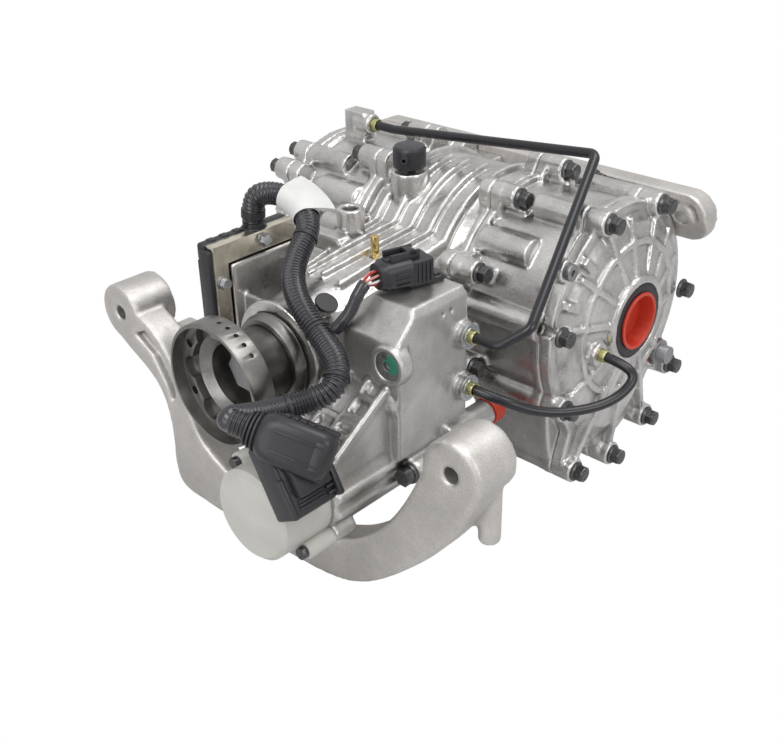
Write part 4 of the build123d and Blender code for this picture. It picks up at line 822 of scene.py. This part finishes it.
# The harness: a corrugated conduit, its taped branch and the wires at the sensor, along the
# routes that the part's source gives, here in metres. A point is added on each of the conduit's
# last two runs, where it turns into its connector.
harness = {
    "conduitRadius": 0.0113, "conduitDepth": 0.0016, "conduitPitch": 0.0036, "sides": 28,
    "conduitRoute": [(-0.103, 0.147, 0.0863), (-0.103, 0.147, 0.103), (-0.095, 0.151, 0.116),
                     (-0.070, 0.161, 0.117), (-0.042, 0.161, 0.107), (-0.022, 0.147, 0.097),
                     (-0.014, 0.122, 0.082), (0.002, 0.100, 0.069), (0.032, 0.082, 0.058),
                     (0.066, 0.076, 0.040), (0.098, 0.063, 0.031), (0.108, 0.046, 0.017),
                     (0.088, 0.024, 0.006), (0.080, -0.010, 0.009), (0.0752, -0.0444, 0.0187),
                     (0.086, -0.039, 0.0155), (0.098, -0.033, 0.0118)],
    "bands": [(0.008, 0.004), (0.121, 0.0014), (0.236, 0.0016), (0.292, 0.0014), (0.345, 0.0014)],
    "bandEase": 0.0007,
    "branchRadius": 0.0058, "branchDepth": 0.0002, "branchPitch": 0.0110, "branchShare": 0.80,
    "branchSides": 20,
    "branchRoute": [(0.073, 0.0845, 0.049), (0.0845, 0.090, 0.063), (0.086, 0.101, 0.082),
                    (0.0869, 0.1125, 0.091), (0.0893, 0.1203, 0.091)],
    "wireRadius": 0.0011, "wireSides": 10,
    "wires": {"redWire": [(-5, 2), (1, 6), (4, -3)], "pinkWire": [(-2, 5), (5, 4), (-5, -3)],
              "whiteWire": [(6, 0), (0, -4)]},      # how far each lies off the middle, in millimetres
    "wireStart": (0.0862, 0.1085, 0.0885), "wireEnd": (0.0898, 0.1217, 0.0910),
    "wireSpread": [(0.0, 0.4), (0.2, 0.8), (0.5, 1.15), (0.8, 1.1), (1.216, 1.0)],   # along, and how far off
}


def conduitTree():
    sizes = [(label, "NodeSocketFloat") for label in ("Radius", "Depth", "Pitch", "Share")]
    labels = sizes + [("Sides", "NodeSocketInt"), ("Material", "NodeSocketMaterial")]
    tree, source, output = newTree("corrugatedTube", labels)
    value = source.outputs
    cut = grow(tree, "GeometryNodeTrimCurve", {"Curve": value["Geometry"], "End": value["Share"]},
               mode="FACTOR")
    step = maths(tree, "DIVIDE", value["Pitch"], 8.0)
    fine = grow(tree, "GeometryNodeResampleCurve", {"Curve": cut.outputs[0], "Length": step}, mode="LENGTH")
    along = grow(tree, "GeometryNodeSplineParameter").outputs["Length"]
    phase = maths(tree, "MULTIPLY", maths(tree, "DIVIDE", along, value["Pitch"]), 2 * math.pi)
    wave = maths(tree, "MULTIPLY", maths(tree, "ADD", maths(tree, "SINE", phase), -1.0), 0.5)
    radius = maths(tree, "ADD", value["Radius"], maths(tree, "MULTIPLY", wave, value["Depth"]))
    ring = grow(tree, "GeometryNodeCurvePrimitiveCircle", {"Resolution": value["Sides"]})
    tube = grow(tree, "GeometryNodeCurveToMesh", {"Curve": fine.outputs[0], "Scale": radius,
                                                  "Profile Curve": ring.outputs[0], "Fill Caps": True})
    smooth = grow(tree, "GeometryNodeSetShadeSmooth", {"Geometry": tube.outputs[0]})
    tree.links.new(finishTree(tree, value, smooth.outputs[0]), output.inputs[0])
    return tree


def splineObject(name, routes):
    data = bpy.data.curves.new(name, "CURVE")
    data.dimensions = "3D"
    for route in routes:
        line = data.splines.new("NURBS")
        line.points.add(len(route) - 1)
        for point, place in zip(line.points, route):
            point.co = (*place, 1.0)
        line.order_u = 3
        line.use_endpoint_u = True
    data.resolution_u = 16
    return link(name, data)


def pathOf(route):
    # The points of a route's smooth line, with the length up to each.
    line = splineObject("path", [route])
    mesh = evaluated(line)
    points = [vertex.co.copy() for vertex in mesh.vertices]
    bpy.data.objects.remove(line)
    lengths = [0.0]
    for first, second in zip(points, points[1:]):
        lengths.append(lengths[-1] + (second - first).length)
    return points, lengths


def pointAt(path, length):
    points, lengths = path
    for n in range(1, len(points)):
        if lengths[n] >= length:
            share = (length - lengths[n - 1]) / (lengths[n] - lengths[n - 1])
            return points[n - 1].lerp(points[n], share), (points[n] - points[n - 1]).normalized()
    return points[-1], (points[-1] - points[-2]).normalized()


def joined(name, pieces):
    whole = bmesh.new()
    materials = []
    for piece in pieces:
        before = len(whole.faces)
        whole.from_mesh(piece.data)
        whole.faces.ensure_lookup_table()
        for face in whole.faces[before:]:
            face.material_index += len(materials)
        materials.extend(piece.data.materials)
        bpy.data.objects.remove(piece)
    mesh = bpy.data.meshes.new(name)
    whole.to_mesh(mesh)
    whole.free()
    for material in materials:
        mesh.materials.append(material)
    return link(name, mesh)


def roundTube(name, routes, radius, look, sides, depth=0.0, pitch=0.004, share=1.0):
    values = {"Radius": radius, "Depth": depth, "Pitch": pitch, "Share": share, "Sides": sides,
              "Material": looks[look]}
    return applyTree(splineObject(name, routes), corrugated, values)


def tapeBands():
    # Turns of tape and a cable tie, each a short sleeve that follows the conduit.
    path = pathOf(harness["conduitRoute"])
    radius = harness["conduitRadius"] + harness["bandEase"]
    pieces = []
    for place, half in harness["bands"]:
        route = [pointAt(path, place + half * n)[0] for n in (-1, -0.33, 0.33, 1)]
        pieces.append(roundTube("band", [route], radius, "blackRubber", harness["sides"]))
    return pieces


def makeHarness():
    conduit = roundTube("conduitTube", [harness["conduitRoute"]], harness["conduitRadius"], "glossConduit",
                        harness["sides"], harness["conduitDepth"], harness["conduitPitch"])
    standFor(joined("corrugatedConduit", [conduit, *tapeBands()]), "harness_conduit")
    pieces = [roundTube("loom", [harness["branchRoute"]], harness["branchRadius"], "glossConduit",
                        harness["branchSides"], harness["branchDepth"], harness["branchPitch"],
                        harness["branchShare"])]
    start, end = Vector(harness["wireStart"]), Vector(harness["wireEnd"])
    along = (end - start).normalized()
    side = along.cross(Vector((0, 0, 1))).normalized()
    for look, spots in harness["wires"].items():
        routes = []
        for across, over in spots:
            offset = (side * across + side.cross(along) * over) / 1000
            routes.append([start.lerp(end, share) + offset * out for share, out in harness["wireSpread"]])
        pieces.append(roundTube(look, routes, harness["wireRadius"], look, harness["wireSides"], pitch=0.006))
    standFor(joined("tapedBranch", pieces), "harness_branch")


# The lower oil pipe, bent in long soft curves. Its ends lie straight in the two fittings.
lowerPipe = {
    "route": [(0.142, 0.175, -0.020), (0.176, 0.175, -0.020), (0.208, 0.214, -0.044),
              (0.240, 0.268, -0.046), (0.250, 0.300, -0.027), (0.234, 0.298, -0.015),
              (0.202, 0.298, -0.015)],
    "radius": 0.00475, "sides": 24,
}


def makeLowerPipe():
    pipe = roundTube("lowerPipeBent", [lowerPipe["route"]], lowerPipe["radius"], "glossPipe",
                     lowerPipe["sides"])
    standFor(pipe, "lower_pipe")


corrugated = conduitTree()
makeHarness()
print("harness made")
makeLowerPipe()
print("lower pipe bent")


# The paper flag round the conduit
flag = {
    "from": 0.058, "to": 0.096, "ease": 0.0016, "tail": 0.027, "droop": 0.004, "thickness": 0.0003,
    "tailWay": (0.25, 1, 0.1), "steps": 18, "sides": 32, "tailSteps": 8,
}


def flagRow(path, share):
    # One row of the flag: once round the conduit, and out along the drooping tail.
    centre, way = pointAt(path, flag["from"] + (flag["to"] - flag["from"]) * share)
    side = Vector(flag["tailWay"])
    side = (side - way * side.dot(way)).normalized()
    top = way.cross(side)
    if top.z < 0:
        top = -top
    radius = harness["conduitRadius"] + flag["ease"]
    turns = [math.radians(-270 + 360 * m / flag["sides"]) for m in range(flag["sides"] + 1)]
    row = [centre + (side * math.cos(a) + top * math.sin(a)) * radius for a in turns]
    for m in range(1, flag["tailSteps"] + 1):
        out = m / flag["tailSteps"]
        droop = flag["droop"] * out ** 2 * (1 + 0.5 * math.sin(3 * share))
        row.append(centre + side * flag["tail"] * out + top * (radius - droop))
    return row


def makeFlag():
    path = pathOf(harness["conduitRoute"])
    shell = bmesh.new()
    rows = []
    for n in range(flag["steps"] + 1):
        rows.append([shell.verts.new(point) for point in flagRow(path, n / flag["steps"])])
    for lower, upper in zip(rows, rows[1:]):
        for m in range(len(lower) - 1):
            shell.faces.new((lower[m], lower[m + 1], upper[m + 1], upper[m]))
    mesh = bpy.data.meshes.new("paperFlag")
    shell.to_mesh(mesh)
    shell.free()
    piece = link("paperFlag", mesh)
    sheet = piece.modifiers.new("sheet", "SOLIDIFY")
    sheet.thickness = flag["thickness"]
    sheet.offset = 1.0
    crease(applied(piece))
    setLook(piece, "paperLabel")
    standFor(piece, "harness_label")


makeFlag()
print("flag made")


# The two black connectors at the pump and the plug on the valve block, in millimetres about
# the places that the part's source gives
connectors = {
    "pumpAt": (106.0, -16.0, 2.0), "pumpAlong": (0.49, 0.0, -0.87), "pumpFacing": (0.87, 0.0, 0.49),
    "outletAt": (104.0, -30.0, 10.0), "outletAlong": (0.86, 0.43, -0.26),
    "outletFacing": (0.5, -0.74, 0.45),
    "sensorAt": (99.0, 151.0, 76.0), "sensorAlong": (0.3, 0.954, 0.0),
}


def makePumpConnector():
    black = [brick((0, -26, -13), (66, 26, 12), 3.0, 3), brick((7, -22, 10), (63, 22, 14.5), 1.4),
             brick((6, -18, 10), (50, 18, 22), 2.5, 3), brick((58, -23, -11), (67, 23, 10), 2.0),
             brick((30, 20, 9), (65, 26, 20), 1.6), brick((30, -26, 9), (65, -22.5, 16), 1.2),
             brick((-5, -17, 2), (9, 12, 19), 2.2), brick((-3, -8, 17), (5, 6, 21.5), 1.0),
             brick((26, -20.5, 14), (45, -19.3, 15.4), 0.4), brick((43.8, -20.5, 14), (45, -12, 15.4), 0.4)]
    black += [brick((3, -24.5 + 3.1 * n, 12), (16, -23.1 + 3.1 * n, 16), 0.4) for n in range(5)]
    black += [brick((31 + 5.4 * n, 12, 13), (33 + 5.4 * n, 21, 17.5), 0.4) for n in range(6)]
    black += [brick((52 + 3 * n, -18, 13.5), (53.6 + 3 * n, 10, 16), 0.4) for n in range(3)]
    groups = {"blackPlastic": black, "lockTab": [brick((-5, -24, 12), (3, -16, 17), 1.8, 3)]}
    place = placeOf(connectors["pumpAt"], connectors["pumpAlong"], connectors["pumpFacing"])
    standFor(assemble("pumpPlug", groups, place), "pump_connector")


def makeConnectorHood():
    hood = [(-4, 14, 13.5, 2.1, 0), (0, 17.5, 15.5, 2.5, 0), (5, 20, 16.8, 3.0, 0), (12, 21, 17, 3.6, 0),
            (48, 21, 16.8, 3.8, 0), (54, 20, 15.6, 3.5, 0), (58, 17.5, 13, 3.1, 0), (60, 13.5, 9.5, 2.7, 0)]
    black = [lofted(hood)]
    for n in range(3):
        x, r = -6.4 - 3.6 * n, 16.4 - 0.8 * n
        rows = [(x, r - 1.2), (x + 0.8, r), (x + 2.2, r), (x + 3, r - 1.2)]
        black.append(lofted([(place, wide, wide, 2, 0) for place, wide in rows]))
    black += [brick((9, y, 15.6), (53, y + 1.6, 17.7), 0.6) for y in (-9, 7.4)]
    black += [brick((11, -22, -9), (59, 22, 3), 2.0), brick((46, -12, 15.5), (57, 12, 17.2), 0.8)]
    black += [brick((16 + 7 * n, 20, -7), (18 + 7 * n, 22.6, 8), 0.6) for n in range(5)]
    place = placeOf(connectors["outletAt"], connectors["outletAlong"], connectors["outletFacing"])
    standFor(assemble("cableHood", {"blackPlastic": black}, place), "connector_cover")


def makeSensorPlug():
    plug = [(-33, 9.5, 9.5, 2.1, 15.5), (-32.4, 12, 11.5, 2.2, 15.5), (-28, 13, 12.5, 2.4, 15.5),
            (-26, 14.6, 13.2, 2.8, 15.5), (-3, 15, 13.4, 3.6, 15.5), (-2, 14, 12.6, 3.4, 15.5)]
    black = [lofted(plug), brick((-3, -13, 3), (19, 13, 27), 2.5, 3), brick((-4, -9, 0), (32, 9, 4), 1.4),
             brick((-22, -8, 27), (7, -5.4, 35), 0.8), brick((-22, 5.4, 27), (7, 8, 35), 0.8),
             brick((-4, -8, 31), (4, 8, 35), 0.8), brick((-25, -4.4, 27.5), (2, 4.4, 30.5), 0.8),
             brick((17, -6, 2), (22, 6, 15), 1.0)]
    black += [brick((2 + 4.2 * n, -14.2, 6), (3.8 + 4.2 * n, 14.2, 24.5), 0.5) for n in range(4)]
    black += [brick((-20, y, 8 + 5 * n), (-6, y + 1.4, 9.6 + 5 * n), 0.4)
              for n in range(3) for y in (-15.8, 14.4)]
    boss = turned([(0, 0), (8.5, 0), (8.5, 4.6), (7.2, 5.4), (0, 5.4)])
    boss.transform(Matrix.Translation((26, 0, 0)))
    black.append(boss)
    place = placeOf(connectors["sensorAt"], connectors["sensorAlong"])
    standFor(assemble("sensorPlug", {"blackPlastic": black}, place), "sensor_connector")


makePumpConnector()
makeConnectorHood()
makeSensorPlug()
print("connectors made")


# The control unit, a black box behind a plated angle strip, in millimetres of the part's frame
unit = {
    "fins": 5, "finPitch": 14, "pads": 3, "padPitch": 16, "socketAt": (-103, 147, 0),
    "socket": [(0, 74), (13, 74), (13, 80), (12, 81), (11.2, 81), (11.2, 86), (0, 86)],
    "strip": [(84, -32), (100, -32), (100, 60), (192, 60), (192, 54), (208, 54), (208, 80), (84, 80)],
    "stripFrom": -92, "stripTo": -89,
}


def makeUnit():
    black = [brick((-109, 80, -15), (-92, 190, 76), 4.0, 3), brick((-115, 86, -9), (-108, 184, 70), 2.5),
             brick((-113, 82, 62), (-101.5, 189, 80.5), 3.0, 3), brick((-112, 81, -6), (-101, 84, 64), 1.5)]
    for n in range(unit["fins"]):
        low = 1 + unit["finPitch"] * n
        black.append(brick((-118, 90, low), (-114, 180, low + 3), 0.8))
    for n in range(unit["pads"]):
        near = 92 + unit["padPitch"] * n
        black.append(brick((-111, near, 79.5), (-103, near + 8, 81.5), 0.8))
    socket = turned(unit["socket"])
    socket.transform(Matrix.Translation(unit["socketAt"]))
    standFor(assemble("controlBox", {"blackPlastic": black + [socket]}), "control_unit")
    strip = [prismX(unit["strip"], unit["stripFrom"], unit["stripTo"]),
             brick((-101, 84.2, 77), (-91.9, 188, 79.9), 0.7)]
    standFor(assemble("unitStrip", {"stripZinc": strip}), "control_unit_strip")


# Zinc discs that the pipe unions screw against
unions = {
    "places": [(150, 175, 33), (150, 175, -20)],
    "disc": [(0, -3), (12.2, -3), (12.8, -2.4), (12.8, 0.4), (12.2, 1), (9.6, 1), (9.2, 0.6), (8.6, 0.6),
             (8.2, 1.4), (0, 1.4)],
}


def makeUnionDiscs():
    discs = []
    for place in unions["places"]:
        disc = turned(unions["disc"])
        disc.transform(Matrix.Translation(place) @ turnTo((0, 0, -1), (1, 0, 0)))
        discs.append(disc)
    piece = assemble("unionDiscs", {"whiteZinc": discs})
    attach(piece, "housing")


makeUnit()
makeUnionDiscs()
print("unit and unions made")


# Sealant squeezed out of the joint behind the pump's can
bead = {
    "place": (86.0, 18.0, -78.0), "radius": 43.6, "thickness": 1.3, "sides": 150, "roundSides": 8,
    "waves": [(0.28, 5, 0), (0.22, 17, 1), (0.16, 43, 0)],      # share of the thickness, count and start
}


def makeBead():
    shell = bmesh.new()
    rings = []
    for n in range(bead["sides"]):
        turn = 2 * math.pi * n / bead["sides"]
        waves = sum(share * math.sin(count * turn + start) for share, count, start in bead["waves"])
        thick = bead["thickness"] * (1 + waves)
        ring = []
        for m in range(bead["roundSides"]):
            a = 2 * math.pi * m / bead["roundSides"]
            far = bead["radius"] + thick * math.cos(a)
            spot = (far * math.cos(turn), thick * 0.8 * math.sin(a), far * math.sin(turn))
            ring.append(shell.verts.new(spot))
        rings.append(ring)
    joinRings(shell, rings + [rings[0]])
    piece = assemble("sealantBead", {"sealant": [shell]}, placeOf(bead["place"]))
    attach(piece, "housing")


makeBead()
print("bead made")


# Floor, backdrop and light
studio = {
    "floorSize": 6.0, "floorTone": 0.66, "white": 1.0, "ambient": 0.50, "nadir": 0.54, "zenith": 0.78,
    "horizon": (-0.25, 0.75), "aim": (0.0, 0.28, 0.0),
    "lamps": [
        {"name": "key", "place": (0.2, -1.3, 1.9), "size": 1.1, "watts": 16.0},
        {"name": "top", "place": (0.5, 0.7, 1.9), "size": 1.3, "watts": 17.0},
        {"name": "side", "place": (1.9, 0.1, 0.8), "size": 0.7, "watts": 6.0},
        {"name": "fill", "place": (0.1, -1.8, 0.35), "size": 1.2, "watts": 7.0},
    ],
}


def seenWhite(tree, kind):
    # What the camera sees of the floor or the backdrop: plain white, which lights nothing.
    return addNode(tree, kind, Color=(1.0, 1.0, 1.0, 1.0), Strength=studio["white"]).outputs[0]


def makeFloor():
    half = studio["floorSize"] / 2
    low = cadBox[0].z
    corners = [(-half, -half, low), (half, -half, low), (half, half, low), (-half, half, low)]
    mesh = bpy.data.meshes.new("floor")
    mesh.from_pydata(corners, [], [(0, 1, 2, 3)])
    floor = link("floor", mesh)
    material, tree, shader = nodeTree("paleFloor")
    cloud = noise(tree, objectPoint(tree), 3.0, 2.0)
    tone = ramp(tree, cloud, [(0.3, grey(studio["floorTone"] * 0.97)), (0.7, grey(studio["floorTone"]))])
    tree.links.new(tone, shader.inputs["Base Color"])
    shader.inputs["Roughness"].default_value = 0.9
    seen = tree.nodes.new("ShaderNodeLightPath").outputs["Is Camera Ray"]
    white = seenWhite(tree, "ShaderNodeEmission")
    mixed = addNode(tree, "ShaderNodeMixShader", {0: seen, 1: shader.outputs[0], 2: white})
    tree.links.new(mixed.outputs[0], tree.nodes["Material Output"].inputs["Surface"])
    floor.data.materials.append(material)


def makeWorld():
    world = bpy.data.worlds.new("studio")
    bpy.context.scene.world = world
    world.use_nodes = True
    tree = world.node_tree
    tree.nodes.clear()
    path = tree.nodes.new("ShaderNodeLightPath").outputs
    way = tree.nodes.new("ShaderNodeTexCoord").outputs["Generated"]
    rise = addNode(tree, "ShaderNodeSeparateXYZ", {"Vector": way}).outputs["Z"]
    sky = remap(tree, rise, *studio["horizon"], studio["nadir"], studio["zenith"])
    glossy = addNode(tree, "ShaderNodeBackground", {"Color": sky}, Strength=1.0)
    ambient = addNode(tree, "ShaderNodeBackground", Color=(1.0, 1.0, 1.0, 1.0), Strength=studio["ambient"])
    first = addNode(tree, "ShaderNodeMixShader",
                    {0: path["Is Glossy Ray"], 1: ambient.outputs[0], 2: glossy.outputs[0]})
    white = seenWhite(tree, "ShaderNodeBackground")
    second = addNode(tree, "ShaderNodeMixShader", {0: path["Is Camera Ray"], 1: first.outputs[0], 2: white})
    addNode(tree, "ShaderNodeOutputWorld", {"Surface": second.outputs[0]})


def makeLamps():
    target = Vector(studio["aim"])
    for lamp in studio["lamps"]:
        data = bpy.data.lights.new(lamp["name"], "AREA")
        data.shape = "SQUARE"
        data.size = lamp["size"]
        data.energy = lamp["watts"]
        body = bpy.data.objects.new(lamp["name"], data)
        place = Vector(lamp["place"])
        turn = (target - place).to_track_quat("-Z", "Y").to_matrix().to_4x4()
        body.matrix_world = Matrix.Translation(place) @ turn
        bpy.context.scene.collection.objects.link(body)


makeFloor()
makeWorld()
makeLamps()
bpy.context.scene.view_settings.view_transform = "Standard"
print("studio set")
